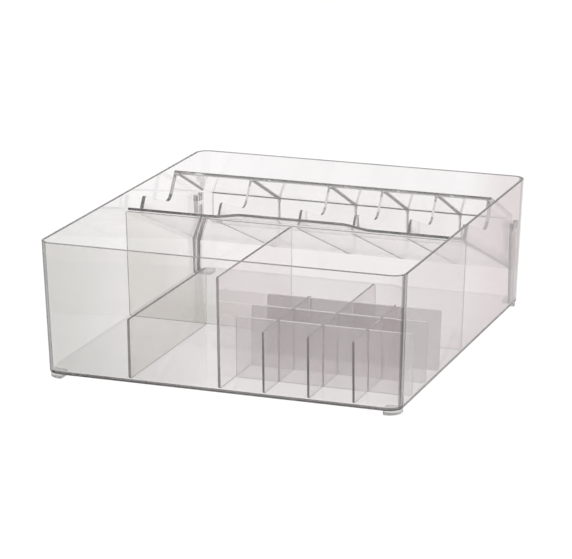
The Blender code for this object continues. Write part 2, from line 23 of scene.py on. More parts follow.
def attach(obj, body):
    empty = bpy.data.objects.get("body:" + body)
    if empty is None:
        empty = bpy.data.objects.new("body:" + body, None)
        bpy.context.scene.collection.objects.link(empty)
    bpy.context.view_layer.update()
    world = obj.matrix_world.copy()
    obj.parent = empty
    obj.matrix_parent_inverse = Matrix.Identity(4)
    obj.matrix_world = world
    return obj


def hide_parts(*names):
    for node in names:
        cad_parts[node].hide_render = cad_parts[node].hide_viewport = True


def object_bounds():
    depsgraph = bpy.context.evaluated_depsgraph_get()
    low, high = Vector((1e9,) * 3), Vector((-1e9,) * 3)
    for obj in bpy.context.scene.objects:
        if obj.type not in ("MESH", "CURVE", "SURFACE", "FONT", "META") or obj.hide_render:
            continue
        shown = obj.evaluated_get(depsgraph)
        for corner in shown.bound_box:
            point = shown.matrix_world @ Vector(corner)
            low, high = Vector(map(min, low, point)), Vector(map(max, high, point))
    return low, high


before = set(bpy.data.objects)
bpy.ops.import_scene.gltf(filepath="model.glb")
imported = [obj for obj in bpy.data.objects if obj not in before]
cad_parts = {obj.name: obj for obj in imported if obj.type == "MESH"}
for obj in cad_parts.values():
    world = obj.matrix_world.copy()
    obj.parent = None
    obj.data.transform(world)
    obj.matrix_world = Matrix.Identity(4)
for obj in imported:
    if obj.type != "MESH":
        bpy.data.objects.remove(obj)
CAD_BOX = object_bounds()

LOG = logging.getLogger("organizer")

Place = tuple[float, float]
Triple = tuple[float, float, float]
Retone = Callable[[BMFace, float], float]
Sockets = bpy.types.NodeOutputs

WELD = 0.000002
SHARP_ANGLE = math.radians(32.0)
CREASE_ANGLE = math.radians(50.0)
CUT_OVERRUN = 0.005
EDGE_LAYER = "edge_tone"
EDGE_REACH = 0.006
EDGE_START = 0.88
DEEPEST_LOOK = 14.0
FINE_SEGMENTS = 2
SOFT_SEGMENTS = 3
BEYOND = 1.0
GREY = (0.9, 0.9, 0.9, 1.0)
SOCKET_KINDS = {float: "NodeSocketFloat", tuple: "NodeSocketColor", type(None): "NodeSocketVector"}


class Joining(Enum):
    """How one shape is worked into another."""

    CUT = "DIFFERENCE"
    JOIN = "UNION"
    KEEP_COMMON = "INTERSECT"


class Side(Enum):
    """An end of the organizer, by the sign of its X."""

    LEFT = -1
    RIGHT = 1


@dataclass(frozen=True)
class Seat:
    """Where a finished piece belongs.

    Args:
        body: The CAD body that the piece moves with.
        nodes: The CAD nodes that it stands for.
        slot: The record's material slot of the piece; it is not used.
    """

    body: str
    nodes: tuple[str, ...]
    slot: str


# Shaping


def facing_side(x: float) -> Matrix:
    """Return the matrix that stands a (y, z) outline in the plane at x."""
    return Matrix(((0, 0, 1, x), (1, 0, 0, 0), (0, 1, 0, 0), (0, 0, 0, 1)))


def facing_front(y: float) -> Matrix:
    """Return the matrix that stands an (x, z) outline in the plane at y."""
    return Matrix(((1, 0, 0, 0), (0, 0, -1, y), (0, 1, 0, 0), (0, 0, 0, 1)))


def shown(name: str, data: bpy.types.ID) -> Object:
    """Return a new object of some data that the scene shows."""
    made = bpy.data.objects.new(name, data)
    bpy.context.scene.collection.objects.link(made)
    return made


def as_object(name: str, shape: BMesh, *materials: Material) -> Object:
    """Return a new object of a shaped mesh, which is freed, with its materials."""
    mesh = bpy.data.meshes.new(name)
    shape.to_mesh(mesh)
    shape.free()
    for material in materials:
        mesh.materials.append(material)
    return shown(name, mesh)


def smooth_step(share: float) -> float:
    """Return a smooth rise from 0 to 1 for a share that runs from 0 to 1."""
    held = min(max(share, 0.0), 1.0)
    return held * held * (3.0 - 2.0 * held)


def weld(shape: BMesh) -> None:
    """Merge the corners of a mesh that fall together."""
    bmesh.ops.remove_doubles(shape, verts=shape.verts, dist=WELD)


def face_outward(shape: BMesh) -> None:
    """Turn every face of a mesh outward."""
    bmesh.ops.recalc_face_normals(shape, faces=shape.faces)


def bevel(
    shape: BMesh,
    parts: Iterable[BMVert | BMEdge],
    width: float,
    segments: int,
    affect: str = "EDGES",
    held_back: bool = True,
) -> None:
    """Round edges of a mesh, or corners of a flat face.

    Args:
        shape: The mesh that is worked on.
        parts: The edges or corners to round.
        width: How far the rounding reaches from each of them.
        segments: The number of facets across each rounding.
        affect: EDGES or VERTICES.
        held_back: True where a crowded edge narrows every rounding of the call.
    """
    bmesh.ops.bevel(
        shape,
        geom=list(parts),
        offset=width,
        offset_type="OFFSET",
        segments=segments,
        profile=0.5,
        affect=affect,
        clamp_overlap=held_back,
        material=-1,
    )


def round_corner(shape: BMesh, vert: BMVert, radius: float, segments: int) -> None:
    """Round one corner of a flat face with an arc of a radius."""
    first, second = (edge.other_vert(vert).co - vert.co for edge in vert.link_edges)
    slide = radius / math.tan(first.angle(second) / 2.0)
    bevel(shape, [vert], slide, segments, "VERTICES", held_back=False)


def stand_up(shape: BMesh, thickness: float, placing: Matrix) -> BMesh:
    """Draw a flat shape out by half a thickness to each side, and put it in its place."""
    for vert in shape.verts:
        vert.co.z = -thickness / 2.0
    made = bmesh.ops.extrude_face_region(shape, geom=shape.faces[:])
    raised = [item for item in made["geom"] if isinstance(item, BMVert)]
    bmesh.ops.translate(shape, verts=raised, vec=(0.0, 0.0, thickness))
    bmesh.ops.transform(shape, matrix=placing, verts=shape.verts)
    face_outward(shape)
    return shape


def solid_outline(
    corners: Sequence[Triple], thickness: float, placing: Matrix, segments: int = 10
) -> BMesh:
    """Make a flat solid: an outline with a thickness, put in place by a matrix.

    Args:
        corners: The outline's corners as (u, v, radius), in order round it.
        thickness: The solid's whole thickness, half to each side of the plane.
        placing: The matrix that takes the outline to its place.
        segments: The number of facets on each round corner.

    Returns:
        The closed mesh.
    """
    shape = bmesh.new()
    verts = [shape.verts.new((u, v, 0.0)) for u, v, _ in corners]
    shape.faces.new(verts)
    for vert, (_, _, radius) in zip(verts, corners):
        if radius > 0.0:
            round_corner(shape, vert, radius, segments)
    return stand_up(shape, thickness, placing)


def box_between(first: Triple, second: Triple) -> BMesh:
    """Make a box between two opposite corners."""
    size = (abs(part) for part in Vector(second) - Vector(first))
    centre = (Vector(first) + Vector(second)) / 2.0
    shape = bmesh.new()
    placing = Matrix.Translation(centre) @ Matrix.Diagonal((*size, 1.0))
    bmesh.ops.create_cube(shape, size=1.0, matrix=placing)
    return shape


def sharp_edges(shape: BMesh, outward: bool = True) -> list[BMEdge]:
    """Return the edges whose two faces turn sharply outward or, where asked, inward."""
    return [
        edge
        for edge in shape.edges
        if len(edge.link_faces) == 2
        and edge.is_convex == outward
        and edge.calc_face_angle() > CREASE_ANGLE
    ]


def at_level(edges: Iterable[BMEdge], level: float) -> list[BMEdge]:
    """Return the edges that lie wholly at a level."""
    return [edge for edge in edges if all(abs(vert.co.z - level) < WELD for vert in edge.verts)]


def worked(base: BMesh, tool: BMesh, joining: Joining) -> BMesh:
    """Cut, join or intersect one closed mesh with another, and free both.

    Args:
        base: The mesh that is changed.
        tool: The mesh that works on it.
        joining: What is done with the two.

    Returns:
        The new mesh.
    """
    holders = [as_object("working_base", base), as_object("working_tool", tool)]
    change = holders[0].modifiers.new("work", "BOOLEAN")
    change.operation = joining.value
    change.solver = "EXACT"
    change.object = holders[1]
    graph = bpy.context.evaluated_depsgraph_get()
    mesh = bpy.data.meshes.new_from_object(holders[0].evaluated_get(graph))
    result = bmesh.new()
    result.from_mesh(mesh)
    bpy.data.meshes.remove(mesh)
    for holder in holders:
        used = holder.data
        bpy.data.objects.remove(holder, do_unlink=True)
        bpy.data.meshes.remove(used)
    return result


def same_tone(_face: BMFace, tone: float) -> float:
    """Return the edge tone of a face as its bend gives it."""
    return tone


def mark_edges(shape: BMesh, inner_too: bool, retone: Retone) -> None:
    """Note on each face how much it belongs to an edge, which sets its painted edge shade: 0 on a
    flat pane, 1 on a tight bend.

    Args:
        shape: The mesh that is marked.
        inner_too: True where inner creases count as edges as well.
        retone: Turns the tone that a face's bend gives into the one that it gets.
    """
    layer = shape.faces.layers.float.new(EDGE_LAYER)
    for face in shape.faces:
        bends = (
            edge.calc_face_angle(0.0) * edge.calc_length()
            for edge in face.edges
            if inner_too or edge.is_convex
        )
        bend = max(bends, default=0.0) / max(face.calc_area(), WELD * WELD)
        tone = (bend * EDGE_REACH - EDGE_START) / (1.0 - EDGE_START)
        face[layer] = retone(face, min(max(tone, 0.0), 1.0))


def settle(
    name: str,
    shape: BMesh,
    seat: Seat,
    *materials: Material,
    inner_too: bool = True,
    retone: Retone = same_tone,
) -> None:
    """Turn a shaped mesh into a finished piece on its body.

    Args:
        name: The piece's name.
        shape: Its closed mesh, which is freed.
        seat: Where the piece belongs.
        materials: Its material, and where it has one, that of its cut upper edges.
        inner_too: True where inner creases look like edges as well.
        retone: Turns the edge tone that a face's bend gives into the one that it gets.
    """
    weld(shape)
    face_outward(shape)
    mark_edges(shape, inner_too, retone)
    for face in shape.faces:
        face.smooth = True
    for edge in shape.edges:
        edge.smooth = len(edge.link_faces) != 2 or edge.calc_face_angle() < SHARP_ANGLE
    piece = as_object(name, shape, *materials)
    level = piece.modifiers.new("flat_panes_stay_flat", "WEIGHTED_NORMAL")
    level.mode = "FACE_AREA"
    level.weight = 80
    level.keep_sharp = True
    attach(piece, seat.body)
    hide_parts(*seat.nodes)
    LOG.info("%s: %d faces on %s", name, len(piece.data.polygons), seat.body)


# Materials


def add_node(
    tree: NodeTree,
    kind: str,
    place: Place,
    inputs: dict[str | int, object] | None = None,
    **settings: object,
) -> ShaderNode:
    """Add a node, set its options and fill its inputs.

    Args:
        tree: The tree that the node goes in.
        kind: The node's Blender type, without the word ShaderNode.
        place: Where it is drawn.
        inputs: Its inputs by name or number, each a value or the socket that feeds it.
        settings: Attributes of the node by name.

    Returns:
        The node.
    """
    node = tree.nodes.new(kind if kind.startswith("NodeGroup") else f"ShaderNode{kind}")
    node.location = place
    for name, value in settings.items():
        setattr(node, name, value)
    for key, value in (inputs or {}).items():
        if isinstance(value, NodeSocket):
            tree.links.new(value, node.inputs[key])
        else:
            node.inputs[key].default_value = value
    return node


def reckon(
    tree: NodeTree, place: Place, operation: str, first: object, second: object
) -> NodeSocket:
    """Add a Math node for two numbers or sockets and return its result."""
    inputs = {0: first, 1: second}
    return add_node(tree, "Math", place, inputs, operation=operation).outputs[0]


def ramp(
    tree: NodeTree, place: Place, value: NodeSocket, ends: Place, to: Place = (0.0, 1.0)
) -> NodeSocket:
    """Add a smooth ramp.

    Args:
        tree: The tree that it goes in.
        place: Where it is drawn.
        value: The socket that it follows.
        ends: The values between which it rises or falls.
        to: What it gives at those values.

    Returns:
        The socket of its result.
    """
    inputs = {
        "Value": value, "From Min": ends[0], "From Max": ends[1], "To Min": to[0], "To Max": to[1]
    }
    node = add_node(tree, "MapRange", place, inputs, interpolation_type="SMOOTHSTEP")
    return node.outputs["Result"]


def blend(
    tree: NodeTree, place: Place, share: NodeSocket, first: NodeSocket, second: NodeSocket
) -> NodeSocket:
    """Add a mix of two colours by a share and return its result."""
    inputs = {"Factor": share, "A": first, "B": second}
    return add_node(tree, "Mix", place, inputs, data_type="RGBA").outputs["Result"]


def open_group(
    name: str, inputs: dict[str, object], output: tuple[str, object]
) -> tuple[NodeTree, Sockets, NodeSocket]:
    """Start a shader group.

    Args:
        name: The group's name.
        inputs: The starting value of each input: a number, a colour, or None for a vector.
        output: The name of its output and a value of its kind.

    Returns:
        The group, its inputs as sockets by name, and the socket of its output.
    """
    tree = bpy.data.node_groups.new(name, "ShaderNodeTree")
    for label, value in inputs.items():
        kind = SOCKET_KINDS[type(value)]
        socket = tree.interface.new_socket(label, in_out="INPUT", socket_type=kind)
        if value is not None:
            socket.default_value = value
    label, value = output
    kind = SOCKET_KINDS[type(value)]
    tree.interface.new_socket(label, in_out="OUTPUT", socket_type=kind)
    entry = add_node(tree, "NodeGroupInput", (-900.0, 0.0))
    leave = add_node(tree, "NodeGroupOutput", (700.0, 0.0))
    return tree, entry.outputs, leave.inputs[label]


def choose_by_ray(
    tree: NodeTree, plain: NodeSocket, choices: Sequence[tuple[str, NodeSocket]]
) -> NodeSocket:
    """Show one shader to each of some kinds of ray, and a plain one to all others.

    Args:
        tree: The tree that the nodes go in.
        plain: The plain shader.
        choices: The Light Path output and the shader of each other look.

    Returns:
        The socket of the mixed shader.
    """
    path = add_node(tree, "LightPath", (-900.0, 300.0))
    result = plain
    for step, (ray, look) in enumerate(choices):
        inputs = {"Fac": path.outputs[ray], 1: result, 2: look}
        place = (100.0 + 180.0 * step, 0.0)
        result = add_node(tree, "MixShader", place, inputs).outputs["Shader"]
    return result


class SharedGroups:
    """The shader groups that the finishes share, each built once.

    Each pair of levels says where a pattern starts to show and where it shows in full.
    """

    # The two sides are painted shade; the drifts are random tints.
    COOL_SHADE_SIDE = (0.2, 1.0)
    WARM_SHADE_SIDE = (0.7, 1.0)
    COOL_DRIFTS = (0.45, 0.70)
    WARM_DRIFTS = (0.45, 0.75)
    SMEARS = (0.48, 0.72)
    WIPES = (0.60, 0.74)
    WIPE_STRETCH = (3.0, 14.0, 60.0)
    CLOSER = 2.3

    def __init__(self) -> None:
        """Build every group."""
        self.tint_cloud = self._tint_cloud()
        self.edge_depth = self._edge_depth()
        self.handling_haze = self._handling_haze()
        self.mould_ripple = self._mould_ripple()

    def _toward(self, tree: NodeTree, given: Sockets, way: str, y: float) -> NodeSocket:
        """Add how far a point lies along one of a group's directions."""
        inputs = {0: given["Vector"], 1: given[way]}
        node = add_node(tree, "VectorMath", (-650.0, y), inputs, operation="DOT_PRODUCT")
        return node.outputs["Value"]

    def _spread(
        self, tree: NodeTree, noise: ShaderNode, amount: NodeSocket, y: float, ends: Place
    ) -> NodeSocket:
        """Stretch a noise to 0..1 between two of its levels and scale it by an amount."""
        share = ramp(tree, (-250.0, y), noise.outputs["Fac"], ends)
        return reckon(tree, (-70.0, y), "MULTIPLY", share, amount)

    def _tint_cloud(self) -> NodeTree:
        """Return the group that drifts a clear plastic's colour between three near tints at random,
        and paints shade toward two given sides.
        """
        inputs = {
            "Vector": None, "Main": GREY, "Cool": GREY, "Warm": GREY, "Scale": 9.0, "Amount": 0.5,
            "Cool Shade Way": None, "Cool Shade Start": 0.0, "Warm Shade Way": None,
        }
        tree, given, leave = open_group("tint_cloud", inputs, ("Colour", GREY))
        # Painted shade: the colour turns fully to the second and third tints toward two given sides.
        cool_way = self._toward(tree, given, "Cool Shade Way", 500.0)
        cool_way = reckon(tree, (-450.0, 500.0), "ADD", cool_way, given["Cool Shade Start"])
        cool_shade_side = ramp(tree, (-250.0, 500.0), cool_way, self.COOL_SHADE_SIDE)
        warm_way = self._toward(tree, given, "Warm Shade Way", -400.0)
        warm_shade_side = ramp(tree, (-250.0, -400.0), warm_way, self.WARM_SHADE_SIDE)
        inputs = {"Vector": given["Vector"], "Scale": given["Scale"], "Detail": 1.5}
        broad = add_node(tree, "TexNoise", (-650.0, 200.0), inputs)
        closer = reckon(tree, (-650.0, -100.0), "MULTIPLY", given["Scale"], self.CLOSER)
        inputs = {"Vector": given["Vector"], "W": 3.7, "Scale": closer, "Detail": 1.0}
        fine = add_node(tree, "TexNoise", (-450.0, -100.0), inputs, noise_dimensions="4D")
        cool_share = self._spread(tree, broad, given["Amount"], 200.0, self.COOL_DRIFTS)
        warm_share = self._spread(tree, fine, given["Amount"], -100.0, self.WARM_DRIFTS)
        cool_drift_and_shade = reckon(tree, (100.0, 350.0), "MAXIMUM", cool_shade_side, cool_share)
        warm_drift_and_shade = reckon(tree, (100.0, -250.0), "MAXIMUM", warm_shade_side, warm_share)
        cool_tinted_and_shaded = blend(tree, (250.0, 150.0), cool_drift_and_shade, given["Main"], given["Cool"])
        warm_tinted_and_shaded = blend(tree, (450.0, 0.0), warm_drift_and_shade, cool_tinted_and_shaded, given["Warm"])
        tree.links.new(warm_tinted_and_shaded, leave)
        return tree

    def _edge_depth(self) -> NodeTree:
        """Return the group that darkens the colour where a pane ends or bends: partly the plastic's
        own deeper colour seen along its edges, partly painted shade for the dark lines that bent
        light gives there.
        """
        inputs = {
            "Vector": None, "Colour": GREY, "Edge Colour": (0.4, 0.4, 0.4, 1.0), "Tone": 0.0,
            "Unevenness": 0.25,
        }
        tree, given, leave = open_group("edge_depth", inputs, ("Colour", GREY))
        inputs = {"Vector": given["Vector"], "Scale": 45.0, "Detail": 2.0}
        patches = add_node(tree, "TexNoise", (-600.0, 200.0), inputs).outputs["Fac"]
        lighter = reckon(tree, (-400.0, 200.0), "MULTIPLY", patches, given["Unevenness"])
        kept = reckon(tree, (-200.0, 200.0), "SUBTRACT", 1.0, lighter)
        share = reckon(tree, (0.0, 100.0), "MULTIPLY", kept, given["Tone"])
        mixed = blend(tree, (250.0, 0.0), share, given["Colour"], given["Edge Colour"])
        tree.links.new(mixed, leave)
        return tree

    def _handling_haze(self) -> NodeTree:
        """Return the group that clouds a gloss with soft smears and thin wipe lines."""
        inputs = {"Vector": None, "Gloss": 0.02, "Amount": 0.03, "Scale": 14.0}
        tree, given, leave = open_group("handling_haze", inputs, ("Roughness", 0.0))
        inputs = {
            "Vector": given["Vector"], "Scale": given["Scale"], "Detail": 4.0, "Distortion": 0.6
        }
        smear = add_node(tree, "TexNoise", (-600.0, 200.0), inputs)
        inputs = {0: given["Vector"], 1: self.WIPE_STRETCH}
        stretch = add_node(tree, "VectorMath", (-700.0, -150.0), inputs, operation="MULTIPLY")
        inputs = {"Vector": stretch.outputs[0], "Scale": 6.0, "Detail": 2.0}
        wipes = add_node(tree, "TexNoise", (-500.0, -150.0), inputs)
        smears = self._spread(tree, smear, given["Amount"], 200.0, self.SMEARS)
        lines = self._spread(tree, wipes, given["Amount"], -150.0, self.WIPES)
        both = reckon(tree, (150.0, 50.0), "ADD", smears, lines)
        tree.links.new(reckon(tree, (350.0, 0.0), "ADD", both, given["Gloss"]), leave)
        return tree

    def _mould_ripple(self) -> NodeTree:
        """Return the group that gives the slow ripple and fine flow lines of a moulded face."""
        inputs = {"Vector": None, "Scale": 12.0, "Flow Share": 0.15}
        tree, given, leave = open_group("mould_ripple", inputs, ("Height", 0.0))
        inputs = {"Vector": given["Vector"], "Scale": given["Scale"], "Detail": 0.5}
        slow = add_node(tree, "TexNoise", (-500.0, 200.0), inputs).outputs["Fac"]
        inputs = {"Vector": given["Vector"], "Scale": 18.0, "Distortion": 5.0, "Detail": 1.0}
        options = {"wave_type": "RINGS", "rings_direction": "Z"}
        flow = add_node(tree, "TexWave", (-500.0, -150.0), inputs, **options).outputs["Fac"]
        lines = reckon(tree, (-200.0, -100.0), "MULTIPLY", flow, given["Flow Share"])
        tree.links.new(reckon(tree, (100.0, 50.0), "ADD", slow, lines), leave)
        return tree


@dataclass(frozen=True)
class ClearPlastic:
    """A clear plastic finish: its tints and painted shade, how dark it gets with depth, and its
    surface.

    Args:
        name: The material's name.
        middle: The point that its patterns are centred on.
        main: The colour that a pane lets through.
        cool: The colour of one set of its drifts, and of the painted shade along cool_way.
        warm: The colour of its other drifts, and of the painted shade along warm_way.
        edge: The colour where a pane ends or bends, partly painted shade.
        cool_way: The direction in which its painted shade deepens, per metre.
        cool_start: How far on that way the middle is.
        warm_way: The direction in which its second painted shade deepens, per metre.
        gloss: The roughness of its cleanest places.
        haze: How much rougher its smears are.
        depth_colour: The colour that long ways through the plastic turn to.
        depth: How fast they get there, per metre.
        ripple: The height of its surface ripple, in metres.
        ripple_scale: How closely the ripples follow each other.
        clouds: How much the tints drift from place to place.
        clear: The share of light that passes; the rest scatters in the plastic.
        refraction: How strongly it bends light.
    """

    name: str
    middle: Vector
    main: Triple
    cool: Triple
    warm: Triple
    edge: Triple
    cool_way: Triple = (0.0, 0.0, 0.0)
    cool_start: float = 0.0
    warm_way: Triple = (0.0, 0.0, 0.0)
    gloss: float = 0.01
    haze: float = 0.02
    depth_colour: Triple = (0.30, 0.28, 0.27)
    depth: float = 8.0
    ripple: float = 0.00001
    ripple_scale: float = 10.0
    clouds: float = 0.12
    clear: float = 1.0
    refraction: float = 1.49

    def material(self, groups: SharedGroups) -> Material:
        """Build the material's nodes.

        Args:
            groups: The shared groups.

        Returns:
            The material.
        """
        made = bpy.data.materials.new(self.name)
        made.use_nodes = True
        tree = made.node_tree
        shader = tree.nodes["Principled BSDF"]
        shader.inputs["Metallic"].default_value = 0.0
        shader.inputs["Transmission Weight"].default_value = self.clear
        shader.inputs["IOR"].default_value = self.refraction
        self._surface(tree, groups, shader)
        output = tree.nodes["Material Output"]
        tree.links.new(self._thinned(tree, shader.outputs["BSDF"]), output.inputs["Surface"])
        if self.depth > 0.0:
            inputs = {"Color": (*self.depth_colour, 1.0), "Density": self.depth}
            inside = add_node(tree, "VolumeAbsorption", (0.0, -350.0), inputs)
            tree.links.new(inside.outputs["Volume"], output.inputs["Volume"])
        return made

    def _surface(self, tree: NodeTree, groups: SharedGroups, shader: ShaderNode) -> None:
        """Feed the shader its colour, roughness and normal."""
        place = add_node(tree, "TexCoord", (-1100.0, 0.0))
        inputs = {"Vector": place.outputs["Object"], "Location": tuple(-self.middle)}
        vector = add_node(tree, "Mapping", (-900.0, 0.0), inputs).outputs["Vector"]
        # Random tints, and painted shade toward two sides.
        inputs = {
            "Vector": vector, "Main": (*self.main, 1.0), "Cool": (*self.cool, 1.0),
            "Warm": (*self.warm, 1.0), "Amount": self.clouds, "Cool Shade Way": self.cool_way,
            "Cool Shade Start": self.cool_start, "Warm Shade Way": self.warm_way,
        }
        tint_and_side_shade = self._group(tree, groups.tint_cloud, (-600.0, 250.0), inputs)
        # Painted edge shade: each face's edge tone darkens its colour toward the edge colour.
        tone = add_node(tree, "Attribute", (-600.0, 500.0), attribute_name=EDGE_LAYER)
        inputs = {
            "Vector": vector, "Colour": tint_and_side_shade, "Edge Colour": (*self.edge, 1.0),
            "Tone": tone.outputs["Fac"],
        }
        colour = self._group(tree, groups.edge_depth, (-300.0, 350.0), inputs)
        inputs = {"Vector": vector, "Gloss": self.gloss, "Amount": self.haze}
        haze = self._group(tree, groups.handling_haze, (-600.0, 0.0), inputs)
        inputs = {"Vector": vector, "Scale": self.ripple_scale}
        height = self._group(tree, groups.mould_ripple, (-600.0, -250.0), inputs)
        inputs = {"Strength": 1.0, "Distance": self.ripple, "Height": height}
        bump = add_node(tree, "Bump", (-300.0, -250.0), inputs)
        tree.links.new(colour, shader.inputs["Base Color"])
        tree.links.new(haze, shader.inputs["Roughness"])
        tree.links.new(bump.outputs["Normal"], shader.inputs["Normal"])

    def _thinned(self, tree: NodeTree, surface: NodeSocket) -> NodeSocket:
        """Let shadows and very deep rays pass straight through the plastic."""
        path = add_node(tree, "LightPath", (-100.0, 600.0))
        depth = path.outputs["Ray Depth"]
        late = reckon(tree, (50.0, 450.0), "GREATER_THAN", depth, DEEPEST_LOOK)
        straight = reckon(tree, (200.0, 500.0), "MAXIMUM", path.outputs["Is Shadow Ray"], late)
        inputs = {"Color": (*(math.sqrt(part) for part in self.main), 1.0)}
        passing = add_node(tree, "BsdfTransparent", (50.0, 150.0), inputs).outputs["BSDF"]
        inputs = {"Fac": straight, 1: surface, 2: passing}
        return add_node(tree, "MixShader", (300.0, 250.0), inputs).outputs["Shader"]

    def _group(
        self, tree: NodeTree, group: NodeTree, place: Place, inputs: dict[str, object]
    ) -> NodeSocket:
        """Place a shared group, fill its inputs and return its output."""
        return add_node(tree, "Group", place, inputs, node_tree=group).outputs[0]


# Pieces


@dataclass(frozen=True)
class TubRoom:
    """The tub's sizes that the pieces inside it depend on."""

    width: float = 0.270
    depth: float = 0.310
    wall: float = 0.0020
    floor: float = 0.0025
    draft: float = 0.0031
    corner: float = 0.010
    base: float = 0.0030
    rim: float = 0.1005
    gap: float = 0.0003
    slide: float = 0.0005
    inside_round: float = 0.0012

    @property
    def floor_level(self) -> float:
        """Return the level of the floor's upper face."""
        return self.base + self.floor

    @property
    def foot_level(self) -> float:
        """Return the level that sheets stand at."""
        return self.floor_level + self.gap

    @property
    def relief(self) -> float:
        """Return the radius that keeps a sheet's lower corner off the tub's inner rounding."""
        return self.inside_round + self.gap

    def reach(self, half: Callable[[float], float], top: float, gap: float) -> Place:
        """Return how far a sheet goes at its foot and its top, a gap short of leaning walls."""
        return half(self.foot_level) - gap, half(top) - gap

    def lean(self, level: float) -> float:
        """Return how far the walls are drawn in at a level, from their place at the rim."""
        return self.draft * (self.rim - level) / (self.rim - self.base)

    def half_width(self, level: float) -> float:
        """Return half the clear width at a level."""
        return self.width / 2.0 - self.wall - self.lean(level)

    def half_depth(self, level: float) -> float:
        """Return half the clear depth at a level."""
        return self.depth / 2.0 - self.wall - self.lean(level)


@dataclass
class Tub:
    """The open tub: one moulding with leaning walls, round corners and a soft rim.

    Its dark bands are painted shade for the dark lines that light bent in the thick corner plastic
    gives: three upright corners get one, the back left none, each as (sign of X, sign of Y, first
    and last angle of the faces from the X direction, edge tone).
    """

    room: TubRoom
    bottom_round: float = 0.0018
    floor_round: float = 0.0006
    rim_round: float = 0.0006
    corner_segments: int = 14
    round_segments: int = 5
    rim_segments: int = 4
    foot_inset: float = 0.006
    foot_tone: float = 0.45
    hidden_foot_tone: float = 0.0
    steepest: float = 0.3
    painted_corner_shade: tuple[tuple[float, float, float, float, float], ...] = (
        (-1.0, -1.0, 14.0, 52.0, 0.97),
        (1.0, -1.0, 4.0, 32.0, 0.8),
        (1.0, 1.0, 32.0, 52.0, 0.7),
    )

    def _block(self, shrink: float, low: float, high: float, edge_round: float) -> BMesh:
        """Make a drafted block with the tub's plan and round upright corners.

        Args:
            shrink: How far it is drawn in from the tub's outside.
            low: The level of its bottom.
            high: The level of its top.
            edge_round: The rounding between its bottom and its sides.

        Returns:
            The closed mesh.
        """
        room = self.room
        half_x = room.width / 2.0 - shrink - room.lean(high)
        half_y = room.depth / 2.0 - shrink - room.lean(high)
        block = box_between((-half_x, -half_y, low), (half_x, half_y, high))
        draw_in = room.lean(low) - room.lean(high)
        for vert in block.verts:
            if vert.co.z < (low + high) / 2.0:
                vert.co.x -= math.copysign(draw_in, vert.co.x)
                vert.co.y -= math.copysign(draw_in, vert.co.y)
        upright = [
            edge for edge in block.edges if abs(edge.verts[0].co.z - edge.verts[1].co.z) > WELD
        ]
        bevel(block, upright, room.corner - shrink, self.corner_segments)
        bevel(block, at_level(block.edges, low), edge_round, self.round_segments)
        return block

    def build(self, material: Material) -> None:
        """Build the tub: a block with a smaller block cut out of it, and a soft rim."""
        room = self.room
        outside = self._block(0.0, room.base, room.rim, self.bottom_round)
        top = room.rim + CUT_OVERRUN
        inside = self._block(room.wall, room.floor_level, top, self.floor_round)
        shape = worked(outside, inside, Joining.CUT)
        weld(shape)
        bevel(shape, at_level(sharp_edges(shape), room.rim), self.rim_round, self.rim_segments)
        seat = Seat("tub", ("tub",), "tub")
        settle("tub_shell", shape, seat, material, inner_too=False, retone=self._retone)

    def _retone(self, face: BMFace, tone: float) -> float:
        """Return a face's edge tone: painted shade in bands of the upright corners, and a paler
        painted edge shade on the lower edges, none at the far left.

        Args:
            face: The face.
            tone: The tone that its bend gives.

        Returns:
            The tone that it gets.
        """
        middle = face.calc_center_median()
        if middle.z < self.room.floor_level:
            at_left = middle.x < self.foot_inset - self.room.width / 2.0
            return tone * (self.hidden_foot_tone if at_left else self.foot_tone)
        if abs(face.normal.z) > self.steepest:
            return tone
        turn = math.degrees(math.atan2(abs(face.normal.y), abs(face.normal.x)))
        # Painted shade: dark bands in three upright corners, none at the back left.
        for side_x, side_y, start, end, least in self.painted_corner_shade:
            if middle.x * side_x > 0.0 and middle.y * side_y > 0.0 and start < turn < end:
                return max(tone, least)
        return tone


@dataclass
class Pads:
    """The four pads that the tub stands on, each following the tub's round corner."""

    room: TubRoom
    size: float = 0.0115
    inset: float = 0.0007
    edge: float = 0.0010
    sole_round: float = 0.0006

    def build(self, material: Material) -> None:
        """Build every pad."""
        for depth_name, depth_side in (("front", -1), ("back", 1)):
            for side in Side:
                self._pad(side, depth_name, depth_side, material)

    def _pad(self, side: Side, depth_name: str, depth_side: int, material: Material) -> None:
        """Build one pad with a soft sole."""
        room = self.room
        across = room.width / 2.0 - room.draft - self.inset
        deep = room.depth / 2.0 - room.draft - self.inset
        height = room.base - room.gap
        outer_x, outer_y = side.value * across, depth_side * deep
        inner_x, inner_y = side.value * (across - self.size), depth_side * (deep - self.size)
        corners = [
            (outer_x, outer_y, room.corner - self.inset),
            (outer_x, inner_y, self.edge),
            (inner_x, inner_y, self.edge),
            (inner_x, outer_y, self.edge),
        ]
        shape = solid_outline(corners, height, Matrix.Translation((0.0, 0.0, height / 2.0)))
        bevel(shape, at_level(sharp_edges(shape), 0.0), self.sole_round, SOFT_SEGMENTS)
        name = f"pad_{depth_name}_{side.name.lower()}"
        settle(f"{name}_foot", shape, Seat("tub", (name,), "pad"), material)


